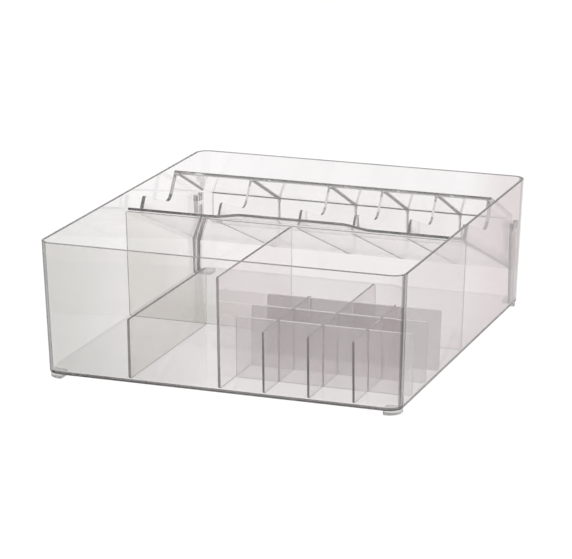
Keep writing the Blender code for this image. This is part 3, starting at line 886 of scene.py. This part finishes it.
@dataclass
class Sheets:
    """The cross wall and the two partitions in front of it, cut from flat sheet."""

    room: TubRoom
    material: Material
    thickness: float = 0.0020
    corner: float = 0.0015
    edge_round: float = 0.00025
    tall: float = 0.0814
    low: float = 0.0442
    cross_back: float = -0.0015

    def _sheet(self, node: str, corners: Sequence[Triple], placing: Matrix) -> None:
        """Build a sheet with soft edges from its outline."""
        shape = solid_outline(corners, self.thickness, placing)
        bevel(shape, sharp_edges(shape), self.edge_round, FINE_SEGMENTS)
        settle(f"{node}_sheet", shape, Seat("tub", (node,), "sheet"), self.material)

    def cross_wall(self) -> None:
        """Build the cross wall, whose ends lean with the tub's sides."""
        room = self.room
        top = room.floor_level + self.tall
        foot, head = room.reach(room.half_width, top, room.gap)
        corners = [
            (-foot, room.foot_level, room.relief),
            (foot, room.foot_level, room.relief),
            (head, top, self.corner),
            (-head, top, self.corner),
        ]
        placing = facing_front(self.cross_back - self.thickness / 2.0)
        self._sheet("cross_wall", corners, placing)

    def partition(self, node: str, x: float, height: float) -> None:
        """Build a partition from the tub's front wall back to the cross wall.

        Args:
            node: The CAD node that it stands for.
            x: Where it stands across.
            height: Its height over the floor.
        """
        room = self.room
        top = room.floor_level + height
        foot, head = room.reach(room.half_depth, top, room.gap)
        back = self.cross_back - self.thickness - room.gap
        corners = [
            (-foot, room.foot_level, room.relief),
            (back, room.foot_level, 0.0),
            (back, top, self.corner),
            (-head, top, self.corner),
        ]
        self._sheet(node, corners, facing_side(x))


@dataclass
class Grid:
    """The slotted dividers that cross each other in the right compartment."""

    room: TubRoom
    count: int = 3
    longest: int = 1
    height: float = 0.0448
    thickness: float = 0.0016
    corner: float = 0.0020
    corner_segments: int = 6
    pitch: float = 0.0314
    slot_room: float = 0.0006
    tail: float = 0.0050
    lip_edge: float = -0.00476
    partition_half: float = 0.0010
    edge_round: float = 0.0002
    cut_edge: float = 0.0003
    straight: float = math.radians(0.5)

    @property
    def top(self) -> float:
        """Return the level of the dividers' top edges."""
        return self.room.foot_level + self.height

    def long_places(self) -> list[float]:
        """Return the Y of each long divider, from the front one back."""
        front = -self.room.half_depth(self.top)
        return [front + self.pitch * (index + 1) for index in range(self.count)]

    def short_places(self) -> list[float]:
        """Return the X of each short divider, which part the compartment evenly."""
        share = self.room.half_width(self.top) / (self.count + 1)
        return [share * (index + 1) for index in range(self.count)]

    def _comb(
        self,
        ends: Place,
        head_ends: Place,
        foot_radii: Place,
        crossings: Sequence[float],
        slots_down: bool,
    ) -> BMesh:
        """Cut a flat comb out of a grid of cells.

        Args:
            ends: The comb's two ends along its foot.
            head_ends: The two ends along its top.
            foot_radii: The radius of each lower corner.
            crossings: The middles of its slots.
            slots_down: True where the slots open downward.

        Returns:
            The flat comb as one face.
        """
        room = self.room
        slot_half = (self.thickness + self.slot_room) / 2.0
        slot_end = room.foot_level + self.height / 2.0 + (room.gap if slots_down else 0.0)
        columns = [ends[0]]
        for crossing in crossings:
            columns += [crossing - slot_half, crossing + slot_half]
        columns.append(ends[1])
        rows = [room.foot_level, slot_end, self.top]
        last, highest = len(columns) - 1, len(rows) - 1
        shape = bmesh.new()
        bmesh.ops.create_grid(shape, x_segments=last, y_segments=highest, size=1.0)
        for vert in shape.verts:
            column = round((vert.co.x + 1.0) / 2.0 * last)
            level = rows[round((vert.co.y + 1.0) / 2.0 * highest)]
            place = columns[column]
            if column in (0, last):
                climbed = (level - rows[0]) / (rows[-1] - rows[0])
                end = min(column, 1)
                place = ends[end] + (head_ends[end] - ends[end]) * climbed
            vert.co = Vector((place, level, 0.0))
        gone = []
        for face in shape.faces:
            middle = face.calc_center_median()
            in_slot_row = (middle.y < slot_end) == slots_down
            if in_slot_row and any(abs(middle.x - place) < slot_half for place in crossings):
                gone.append(face)
        bmesh.ops.delete(shape, geom=gone, context="FACES")
        bmesh.ops.dissolve_faces(shape, faces=shape.faces[:], use_verts=False)
        on_line = [
            vert
            for vert in shape.verts
            if len(vert.link_edges) == 2 and vert.calc_edge_angle() < self.straight
        ]
        bmesh.ops.dissolve_verts(shape, verts=on_line)
        radii = [(x, rows[0], radius) for x, radius in zip(ends, foot_radii) if radius > 0.0]
        radii += [(x, rows[-1], self.corner) for x in head_ends]
        for vert in list(shape.verts):
            for x, level, radius in radii:
                if abs(vert.co.x - x) < WELD and abs(vert.co.y - level) < WELD:
                    round_corner(shape, vert, radius, self.corner_segments)
                    break
        return shape

    def _divider(
        self, node: str, body: str, comb: BMesh, placing: Matrix, materials: Sequence[Material]
    ) -> None:
        """Finish a divider, whose cut upper edge has a material of its own.

        Args:
            node: The CAD node that it stands for.
            body: The CAD body that it moves with.
            comb: Its flat comb.
            placing: The matrix that takes the comb to its place.
            materials: Its material and that of its upper edge.
        """
        shape = stand_up(comb, self.thickness, placing)
        bevel(shape, sharp_edges(shape), self.edge_round, FINE_SEGMENTS)
        for face in shape.faces:
            if face.calc_center_bounds().z > self.top - self.cut_edge:
                face.material_index = 1
        settle(f"{node}_comb", shape, Seat(body, (node,), "divider"), *materials)

    def long_divider(self, index: int, *materials: Material) -> None:
        """Build a divider that runs across, with slots that open upward."""
        room = self.room
        left = self.partition_half + room.slide
        foot, head = room.reach(room.half_width, self.top, room.slide)
        radii = (0.0, room.relief)
        comb = self._comb((left, foot), (left, head), radii, self.short_places(), False)
        node = f"long_divider_{index + 1}"
        placing = facing_front(self.long_places()[index])
        self._divider(node, "long_dividers", comb, placing, materials)

    def short_divider(self, index: int, *materials: Material) -> None:
        """Build a divider that runs front to back, with slots that open downward."""
        room = self.room
        foot, head = room.reach(room.half_depth, self.top, room.slide)
        back = self.long_places()[-1] + self.tail
        if index == self.longest:
            back = self.lip_edge - room.slide
        radii = (room.relief, 0.0)
        comb = self._comb((-foot, back), (-head, back), radii, self.long_places(), True)
        node = f"short_divider_{index + 1}"
        placing = facing_side(self.short_places()[index])
        self._divider(node, node, comb, placing, materials)


@dataclass
class Tray:
    """The one-piece tray: sloped floor, roof, back, ends, curved dividers, lip and lugs."""

    room: TubRoom
    width: float = 0.255
    depth: float = 0.1491
    lip_front: float = -0.0040
    slope: float = math.radians(22.4)
    wall: float = 0.0020
    end_thickness: float = 0.0028
    divider_thickness: float = 0.0018
    back_height: float = 0.0382
    back_corner: float = 0.0090
    floor_bend: float = 0.0100
    roof_bend: float = 0.0030
    roof_rise: float = 0.0038
    rail_thickness: float = 0.0028
    rail_depth: float = 0.0030
    fence_start: float = 0.0175
    open_share: float = 0.4415
    step_run: float = 0.0057
    fence_front: float = 0.0124
    fence_back: float = 0.0160
    fence_lean: float = 0.0018
    fence_corner: float = 0.0028
    step_round: float = 0.0090
    rail_corner: float = 0.0012
    bay_shares: tuple[int, ...] = (3, 3, 2, 2, 2)
    lip_overhang: float = 0.0026
    lip_depth: float = 0.0120
    lip_corner: float = 0.0020
    lip_round: float = 0.0005
    grip_height: float = 0.0028
    grip_length: float = 0.0760
    grip_ramp: float = 0.0240
    lug_length: float = 0.0032
    lug_width: float = 0.0056
    lug_height: float = 0.0034
    lug_round: float = 0.0004
    lug_from_back: float = 0.0088
    lug_below_roof: float = 0.0080
    edge_round: float = 0.0003
    fillet: float = 0.0009
    roof_fillet: float = 0.0014
    sink_width: float = 0.0018
    sink_depth: float = 0.0006
    cross_top: float = 0.0869
    cross_back: float = -0.0015
    side_segments: int = 12
    plan_segments: int = 16
    lip_segments: tuple[int, int] = (96, 14)
    plan_room: float = 0.0001
    tall: float = 0.3
    high_share: float = 0.7
    flat: float = math.radians(0.3)

    @property
    def lip_level(self) -> float:
        """Return the level of the floor's upper face at the lip's front edge."""
        fall = (self.cross_back - self.lip_front) * math.tan(self.slope)
        return self.cross_top + self.room.gap + fall + self.wall / math.cos(self.slope)

    @property
    def back(self) -> float:
        """Return the Y of the tray's back."""
        return self.lip_front + self.depth

    def at(self, along: float, above: float) -> Place:
        """Return the (y, z) place of a point along the floor and square above it."""
        return (
            self.lip_front + along * math.cos(self.slope) + above * math.sin(self.slope),
            self.lip_level - along * math.sin(self.slope) + above * math.cos(self.slope),
        )

    def back_point(self, above: float, inset: float) -> Place:
        """Return the (along, above) point on the upright back, or inside it by an inset."""
        run = self.depth - inset - above * math.sin(self.slope)
        return run / math.cos(self.slope), above

    def marks(self) -> dict[str, Place]:
        """Return the named corners of the side view as (along, above) points."""
        floor_end, _ = self.back_point(0.0, 0.0)
        fence_end = self.open_share * floor_end
        return {
            "fence_foot": (self.fence_start, 0.0),
            "fence_front": (self.fence_start + self.fence_lean, self.fence_front),
            "fence_back": (fence_end, self.fence_back),
            "rail": (fence_end + self.step_run, self.back_height + self.roof_rise),
            "roof_back": self.back_point(self.back_height, 0.0),
        }

    def roof_fall(self) -> float:
        """Return how much nearer the floor the roof gets for each length along it."""
        marks = self.marks()
        return self.roof_rise / (marks["roof_back"][0] - marks["rail"][0])

    def roof_line(self, along: float, below: float) -> Place:
        """Return the (along, above) point on a line under the roof's top."""
        rail_along, rail_above = self.marks()["rail"]
        return along, rail_above - (along - rail_along) * self.roof_fall() - below

    def roof_inner_back(self) -> Place:
        """Return the corner where the roof's underside meets the back's inner face."""
        foot_along, _ = self.back_point(0.0, self.wall)
        _, above_foot = self.roof_line(foot_along, self.wall)
        above = above_foot / (1.0 - self.roof_fall() * math.tan(self.slope))
        return self.back_point(above, self.wall)

    def divider_places(self) -> list[float]:
        """Return the X of the inner dividers."""
        share_width = self.width / sum(self.bay_shares)
        places = []
        x = -self.width / 2.0
        for share in self.bay_shares[:-1]:
            x += share * share_width
            places.append(x)
        return places

    def lug_place(self) -> Place:
        """Return the (y, z) middle of the lugs."""
        roof_along, roof_above = self.marks()["roof_back"]
        return self.at(roof_along - self.lug_from_back, roof_above - self.lug_below_roof)

    def _side_solid(self, corners: Sequence[Triple], width: float) -> BMesh:
        """Make a solid over the tray's width from a side view of (along, above, radius)."""
        outline = [(*self.at(along, above), radius) for along, above, radius in corners]
        return solid_outline(outline, width, facing_side(0.0), self.side_segments)

    def _plan_solid(self, inset_ends: float, inset_back: float) -> BMesh:
        """Make an upright solid with the tray's plan, whose back corners are round."""
        half = self.width / 2.0 - inset_ends
        back = self.back - inset_back + self.plan_room
        front = self.lip_front - CUT_OVERRUN
        radius = self.back_corner - inset_back
        corners = [(-half, front, 0.0), (half, front, 0.0)]
        corners += [(half, back, radius), (-half, back, radius)]
        placing = Matrix.Translation((0.0, 0.0, self.lip_level))
        return solid_outline(corners, self.tall, placing, self.plan_segments)

    def _side_block(self) -> BMesh:
        """Make the tray's full side view over its whole width."""
        marks = self.marks()
        start = self.lip_depth - self.wall
        corners = [
            (start, -self.wall, 0.0),
            (*self.back_point(-self.wall, 0.0), self.floor_bend),
            (*marks["roof_back"], self.roof_bend),
            (*marks["rail"], self.rail_corner),
            (*marks["fence_back"], self.step_round),
            (*marks["fence_front"], self.fence_corner),
            (*marks["fence_foot"], 0.0),
            (start, 0.0, 0.0),
        ]
        return self._side_solid(corners, self.width + CUT_OVERRUN)

    def _hollow(self) -> BMesh:
        """Make the room of the bays: over the floor and under the roof."""
        rail_back = self.marks()["rail"][0] + self.rail_depth
        past_step = self.marks()["fence_back"][0] - self.step_round
        open_top = 2.0 * self.back_height
        corners = [
            (self.fence_start, 0.0, 0.0),
            (*self.back_point(0.0, self.wall), self.floor_bend - self.wall),
            (*self.roof_inner_back(), self.roof_bend - self.wall),
            (*self.roof_line(rail_back, self.wall), 0.0),
            (*self.roof_line(rail_back - self.wall, self.rail_thickness), 0.0),
            (*self.roof_line(past_step, self.rail_thickness), 0.0),
            (past_step, open_top, 0.0),
            (self.fence_start - CUT_OVERRUN, open_top, 0.0),
        ]
        hollow = self._side_solid(corners, self.width)
        plan = self._plan_solid(self.end_thickness, self.wall)
        hollow = worked(hollow, plan, Joining.KEEP_COMMON)
        half = self.divider_thickness / 2.0
        for x in self.divider_places():
            slab = box_between((x - half, -BEYOND, -BEYOND), (x + half, BEYOND, BEYOND))
            hollow = worked(hollow, slab, Joining.CUT)
        return hollow

    def _grip_rise(self, x: float) -> float:
        """Return how far the lip is raised at a place across."""
        way = (abs(x) - self.grip_length / 2.0) / self.grip_ramp
        return self.grip_height * (1.0 - smooth_step(way))

    def _lip(self) -> BMesh:
        """Make the front lip, whose middle rises as a finger grip."""
        shape = bmesh.new()
        half = self.width / 2.0 + self.lip_overhang
        across, deep = self.lip_segments
        bmesh.ops.create_grid(shape, x_segments=across, y_segments=deep, size=0.5)
        for vert in shape.verts:
            share = vert.co.y + 0.5
            x = 2.0 * half * vert.co.x
            above = self._grip_rise(x) * (1.0 - smooth_step(share))
            vert.co = Vector((x, *self.at(self.lip_depth * share, above)))
        tips = [vert for vert in shape.verts if vert.is_boundary and abs(vert.co.x) > half - WELD]
        front = min(vert.co.y for vert in tips)
        for vert in tips:
            if vert.co.y < front + WELD:
                vert.co.x -= math.copysign(self.lip_corner / 2.0, vert.co.x)
        face_outward(shape)
        if sum(face.normal.z for face in shape.faces) < 0.0:
            bmesh.ops.reverse_faces(shape, faces=shape.faces)
        bmesh.ops.solidify(shape, geom=shape.faces[:], thickness=self.wall)
        face_outward(shape)
        bevel(shape, sharp_edges(shape), self.lip_round, SOFT_SEGMENTS)
        return shape

    def _lug(self, side: Side) -> BMesh:
        """Make the lug on one end."""
        y, z = self.lug_place()
        inner = side.value * (self.width / 2.0 - self.end_thickness / 2.0)
        outer = side.value * (self.width / 2.0 + self.lug_length)
        half_y, half_z = self.lug_width / 2.0, self.lug_height / 2.0
        shape = box_between((inner, y - half_y, z - half_z), (outer, y + half_y, z + half_z))
        bevel(shape, sharp_edges(shape), self.lug_round, SOFT_SEGMENTS)
        return shape

    def _sink_line(self, x: float) -> BMesh:
        """Make the wedge that takes the sink line under a divider out of the floor."""
        half = self.sink_width / 2.0 * (1.0 + self.wall / self.sink_depth)
        low, high = -2.0 * self.wall, self.sink_depth - self.wall
        corners = ((-half, low), (0.0, high), (half, low))
        reach = (self.fence_start, self.back_point(0.0, 0.0)[0] - self.floor_bend)
        shape = bmesh.new()
        start, end = (
            [shape.verts.new((x + across, *self.at(along, above))) for across, above in corners]
            for along in reach
        )
        shape.faces.new(start)
        shape.faces.new(end)
        for index in range(len(corners)):
            following = (index + 1) % len(corners)
            shape.faces.new((start[index], start[following], end[following], end[index]))
        face_outward(shape)
        return shape

    def build(self, material: Material) -> None:
        """Build the tray as one solid."""
        shape = worked(self._plan_solid(0.0, 0.0), self._side_block(), Joining.KEEP_COMMON)
        shape = worked(shape, self._hollow(), Joining.CUT)
        weld(shape)
        bmesh.ops.dissolve_limit(
            shape, angle_limit=self.flat, verts=shape.verts, edges=shape.edges
        )
        for high_up, width in ((True, self.roof_fillet), (False, self.fillet)):
            self._part_at_corners(shape)
            creases = [
                edge
                for edge in sharp_edges(shape, outward=False)
                if self._is_ridge(edge)
                and not any(self._in_back_corner(vert) for vert in edge.verts)
                and all(self._is_high(vert) for vert in edge.verts) == high_up
            ]
            bevel(shape, creases, width, SOFT_SEGMENTS, held_back=False)
        ridges = [edge for edge in sharp_edges(shape) if self._is_ridge(edge)]
        bevel(shape, ridges, self.edge_round, FINE_SEGMENTS)
        for x in self.divider_places():
            shape = worked(shape, self._sink_line(x), Joining.CUT)
        for side in Side:
            shape = worked(shape, self._lug(side), Joining.JOIN)
        shape = worked(shape, self._lip(), Joining.JOIN)
        settle("tray_moulding", shape, Seat("tray", ("tray",), "tray"), material)

    def _part_at_corners(self, shape: BMesh) -> None:
        """Divide the creases that run into the round back corners where they enter them."""
        line = self.back - self._corner_reach() - WELD
        for edge in sharp_edges(shape, outward=False):
            inside = [vert for vert in edge.verts if self._in_back_corner(vert)]
            if len(inside) == 1 and self._is_ridge(edge):
                outer = edge.other_vert(inside[0])
                if outer.co.y < line < inside[0].co.y:
                    share = (line - outer.co.y) / (inside[0].co.y - outer.co.y)
                    bmesh.utils.edge_split(edge, outer, share)

    def _corner_reach(self) -> float:
        """Return how far the round back corners reach in, with room for a fillet's end."""
        return self.back_corner + self.roof_fillet

    def _is_high(self, vert: BMVert) -> bool:
        """Tell whether a corner lies by the roof."""
        away, up = vert.co.y - self.lip_front, vert.co.z - self.lip_level
        above = away * math.sin(self.slope) + up * math.cos(self.slope)
        return above > self.high_share * self.back_height

    def _in_back_corner(self, vert: BMVert) -> bool:
        """Tell whether a corner lies in the round back corners, where creases crowd."""
        reach = self._corner_reach()
        return abs(vert.co.x) > self.width / 2.0 - reach and vert.co.y > self.back - reach

    def _is_ridge(self, edge: BMEdge) -> bool:
        """Tell whether an edge lies behind the lip, where the moulding's own edges are soft."""
        clear = self.lip_front + self.lip_depth + self.wall
        return all(vert.co.y > clear for vert in edge.verts)


@dataclass
class Posts:
    """The two posts by the tub's sides that hold the tray's lugs."""

    room: TubRoom
    tray: Tray
    rib: float = 0.0032
    socket_depth: float = 0.0050
    socket_floor: float = 0.0036
    groove: float = 0.0010
    edge_round: float = 0.0003

    def build(self, material: Material) -> None:
        """Build both posts."""
        for side in Side:
            self._post(side, material)

    def _post(self, side: Side, material: Material) -> None:
        """Build one post with its socket and the groove below it."""
        room, sign = self.room, side.value
        lug_y, lug_z = self.tray.lug_place()
        seat = lug_z - self.tray.lug_height / 2.0 - room.gap
        top = seat + self.socket_depth
        face = self.tray.width / 2.0 + room.slide
        socket = self.tray.lug_width + 2.0 * room.slide
        foot, head = room.reach(room.half_width, top, room.gap)
        corners = [
            (sign * face, room.foot_level, 0.0),
            (sign * foot, room.foot_level, room.relief),
            (sign * head, top, 0.0),
            (sign * face, top, 0.0),
        ]
        shape = solid_outline(corners, socket + 2.0 * self.rib, facing_front(lug_y))
        inner, half = sign * (face - CUT_OVERRUN), socket / 2.0
        for outer, low, high in (
            (sign * room.width / 2.0, seat, top + CUT_OVERRUN),
            (sign * (face + self.groove), -CUT_OVERRUN, seat - self.socket_floor),
        ):
            cutter = box_between((inner, lug_y - half, low), (outer, lug_y + half, high))
            shape = worked(shape, cutter, Joining.CUT)
        weld(shape)
        bevel(shape, sharp_edges(shape), self.edge_round, FINE_SEGMENTS)
        name = f"post_{side.name.lower()}"
        settle(f"{name}_bracket", shape, Seat("tub", (name,), "post"), material)


# Studio


@dataclass
class Studio:
    """The pale floor, the light and the camera."""

    floor_radius: float = 6.0
    floor_drop: float = 0.0002
    floor_grey: float = 0.80
    floor_shaded: float = 0.20
    floor_glow: float = 0.86
    mirrored_floor: float = 0.80
    room_grey: float = 0.65
    dimming: Place = (0.12, 0.62)
    mirrored_sky: Place = (0.85, 0.45)
    sky_behind: Place = (1.0, 0.50)
    lamp_size: Place = (1.6, 1.2)
    lamp_place: Triple = (-0.7, 0.2, 1.9)
    lamp_aim: Triple = (0.0, 0.0, 0.05)
    lamp_energy: float = 14.0
    camera_place: Triple = (0.699776, -1.938202, 0.614465)
    camera_forward: Triple = (-0.32953778, 0.90586478, -0.26610871)
    camera_up: Triple = (-0.091798, 0.249775, 0.963943)
    lens: float = 181.96
    sensor: float = 36.0
    far: float = 50.0

    def _floor_look(self) -> Material:
        """Return the floor's material: white to the eye, and still holding a soft shadow."""
        made = bpy.data.materials.new("studio_floor")
        made.use_nodes = True
        tree = made.node_tree
        tree.nodes.remove(tree.nodes["Principled BSDF"])
        inputs = {"Color": (*(self.floor_grey,) * 3, 1.0)}
        plain = add_node(tree, "BsdfDiffuse", (-500.0, -350.0), inputs)
        inputs = {"Strength": self.mirrored_floor}
        mirrored = add_node(tree, "Emission", (-500.0, -200.0), inputs)
        white = add_node(tree, "Emission", (-500.0, -50.0))
        inputs = {"Color": (*(self.floor_shaded,) * 3, 1.0)}
        shaded = add_node(tree, "BsdfDiffuse", (-500.0, 100.0), inputs)
        glow = add_node(tree, "Emission", (-500.0, 250.0), {"Strength": self.floor_glow})
        inputs = {0: glow.outputs["Emission"], 1: shaded.outputs["BSDF"]}
        direct = add_node(tree, "AddShader", (-300.0, 150.0), inputs)
        choices = (
            ("Is Glossy Ray", mirrored.outputs["Emission"]),
            ("Is Transmission Ray", white.outputs["Emission"]),
            ("Is Camera Ray", direct.outputs["Shader"]),
        )
        result = choose_by_ray(tree, plain.outputs["BSDF"], choices)
        tree.links.new(result, tree.nodes["Material Output"].inputs["Surface"])
        return made

    def floor(self) -> None:
        """Build the floor."""
        shape = bmesh.new()
        bmesh.ops.create_circle(shape, cap_ends=True, segments=96, radius=self.floor_radius)
        bmesh.ops.translate(shape, verts=shape.verts, vec=(0.0, 0.0, -self.floor_drop))
        floor = as_object("studio_floor", shape, self._floor_look())

    def world(self) -> None:
        """Light the room evenly; behind the organizer it is white, and overhead it is darker."""
        world = bpy.data.worlds.new("studio_room")
        bpy.context.scene.world = world
        world.use_nodes = True
        tree = world.node_tree
        tree.nodes.clear()
        place = add_node(tree, "TexCoord", (-900.0, -200.0)).outputs["Generated"]
        height = add_node(tree, "SeparateXYZ", (-700.0, -200.0), {"Vector": place}).outputs["Z"]
        inputs = {"Color": (*(self.room_grey,) * 3, 1.0)}
        even = add_node(tree, "Background", (-100.0, 200.0), inputs)
        white = add_node(tree, "Background", (-100.0, -400.0), {"Color": (1.0, 1.0, 1.0, 1.0)})
        choices = (
            ("Is Glossy Ray", self._sky(tree, height, self.mirrored_sky, 0.0)),
            ("Is Transmission Ray", self._sky(tree, height, self.sky_behind, -250.0)),
            ("Is Camera Ray", white.outputs["Background"]),
        )
        result = choose_by_ray(tree, even.outputs["Background"], choices)
        add_node(tree, "OutputWorld", (800.0, 0.0), {"Surface": result})

    def _sky(self, tree: NodeTree, height: NodeSocket, strengths: Place, y: float) -> NodeSocket:
        """Add a surrounding that goes from one strength at the horizon to another overhead."""
        strength = ramp(tree, (-500.0, y), height, self.dimming, strengths)
        node = add_node(tree, "Background", (-300.0, y), {"Strength": strength})
        return node.outputs["Background"]

    def lamp(self) -> None:
        """Hang one big soft lamp over the organizer's left side."""
        data = bpy.data.lights.new("overhead_softbox", "AREA")
        data.shape = "RECTANGLE"
        data.size, data.size_y = self.lamp_size
        data.energy = self.lamp_energy
        lamp = shown("overhead_softbox", data)
        lamp.location = self.lamp_place
        aim = Vector(self.lamp_aim) - lamp.location
        lamp.rotation_euler = aim.to_track_quat("-Z", "Y").to_euler()

    def camera(self) -> None:
        """Set the camera at the photograph's viewing angle."""
        forward = Vector(self.camera_forward).normalized()
        up = Vector(self.camera_up).normalized()
        right = forward.cross(up).normalized()
        data = bpy.data.cameras.new("photo_camera")
        data.sensor_fit = "HORIZONTAL"
        data.sensor_width = self.sensor
        data.lens = self.lens
        data.clip_end = self.far
        camera = shown("photo_camera", data)
        turned = Matrix((right, up, -forward)).transposed().to_4x4()
        camera.matrix_world = Matrix.Translation(self.camera_place) @ turned
        bpy.context.scene.camera = camera

    def settings(self) -> None:
        """Let light pass through every pane that stands behind another."""
        scene = bpy.context.scene
        scene.view_settings.view_transform = "Standard"
        scene.cycles.max_bounces = 64
        scene.cycles.transmission_bounces = 64
        scene.cycles.glossy_bounces = 32
        scene.cycles.transparent_max_bounces = 48

    def build(self) -> None:
        """Build the whole studio."""
        self.floor()
        self.world()
        self.lamp()
        self.camera()
        self.settings()


def finishes() -> dict[str, Material]:
    """Build the material of each kind of piece, and return them by kind."""
    middle = (Vector(CAD_BOX[0]) + Vector(CAD_BOX[1])) / 2.0
    kinds = [
        ClearPlastic(
            "tub_clear_plastic", middle,
            main=(0.99, 0.978, 0.978), cool=(0.83, 0.825, 0.81), warm=(0.87, 0.81, 0.815),
            # Painted shade: darker toward the front left corner, and darker and pinker along the
            # right wall.
            edge=(0.07, 0.069, 0.069), cool_way=(-5.0, -4.0, 0.0), cool_start=-0.3,
            warm_way=(7.2, 0.7, 0.0), depth=9.0, ripple=0.00002,
        ),
        ClearPlastic(
            "sheet_clear_plastic", middle,
            main=(0.965, 0.94, 0.943), cool=(0.80, 0.795, 0.765), warm=(0.95, 0.915, 0.92),
            # Painted shade: darker toward the left and toward the floor.
            edge=(0.12, 0.118, 0.118), cool_way=(-8.0, 0.0, -8.0), depth=5.0, ripple_scale=7.0,
        ),
        ClearPlastic(
            "long_divider_clear_plastic", middle,
            main=(0.93, 0.905, 0.905), cool=(0.68, 0.65, 0.655), warm=(0.92, 0.89, 0.89),
            # Painted shade: darker toward the back, so each divider is darker than the one in front
            # of it.
            edge=(0.70, 0.68, 0.68), cool_way=(0.0, 16.0, 0.0), cool_start=2.0,
            gloss=0.02, haze=0.03, depth=0.0, ripple_scale=16.0, clear=0.80,
        ),
        ClearPlastic(
            "cut_edge_milky_plastic", middle,
            main=(1.0, 0.99, 0.99), cool=(0.99, 0.99, 0.98), warm=(1.0, 0.98, 0.98),
            edge=(1.0, 1.0, 1.0), gloss=0.3, haze=0.1, depth=0.0, ripple_scale=60.0,
            clear=0.1,
        ),
        ClearPlastic(
            "short_divider_clear_plastic", middle,
            main=(0.95, 0.93, 0.925), cool=(0.86, 0.84, 0.835), warm=(0.93, 0.90, 0.90),
            edge=(0.04, 0.035, 0.035), gloss=0.02, haze=0.03, depth=4.0, ripple_scale=16.0,
            clear=0.88,
        ),
        ClearPlastic(
            "tray_clear_plastic", middle,
            main=(0.985, 0.978, 0.975), cool=(0.82, 0.81, 0.80), warm=(0.975, 0.955, 0.96),
            # Painted shade: darker below a plane through the lip that falls toward the back.
            edge=(0.07, 0.068, 0.068), cool_way=(0.0, -42.8, -103.6), cool_start=5.3,
            depth=4.0, ripple=0.00002, ripple_scale=12.0,
        ),
        ClearPlastic(
            "post_clear_plastic", middle,
            main=(0.90, 0.88, 0.878), cool=(0.86, 0.86, 0.85), warm=(0.88, 0.85, 0.85),
            edge=(0.02, 0.02, 0.02), gloss=0.02, haze=0.03, depth=10.0, ripple_scale=30.0,
        ),
        ClearPlastic(
            "pad_clear_plastic", middle,
            main=(0.94, 0.945, 0.94), cool=(0.93, 0.945, 0.94), warm=(0.95, 0.94, 0.935),
            edge=(0.60, 0.60, 0.60), gloss=0.22, haze=0.08, depth_colour=(0.8, 0.8, 0.8),
            depth=30.0, ripple=0.00003, ripple_scale=60.0,
        ),
    ]
    groups = SharedGroups()
    return {kind.name.split("_")[0]: kind.material(groups) for kind in kinds}


def write_sizes() -> None:
    """Bring the scene's placements up to date."""
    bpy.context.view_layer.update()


def main() -> None:
    """Build the studio and every piece, in the order that they are put together."""
    logging.basicConfig(level=logging.INFO, format="%(name)s: %(message)s")
    Studio().build()
    looks = finishes()
    room = TubRoom()
    Tub(room).build(looks["tub"])
    Pads(room).build(looks["pad"])
    sheets = Sheets(room, looks["sheet"])
    sheets.cross_wall()
    sheets.partition("tall_partition", 0.0, sheets.tall)
    sheets.partition("low_partition", -room.width / 4.0, sheets.low)
    grid = Grid(room)
    for index in range(grid.count):
        grid.long_divider(index, looks["long"], looks["cut"])
        grid.short_divider(index, looks["short"], looks["long"])
    tray = Tray(room)
    tray.build(looks["tray"])
    Posts(room, tray).build(looks["post"])
    write_sizes()


if __name__ == "__main__":
    main()
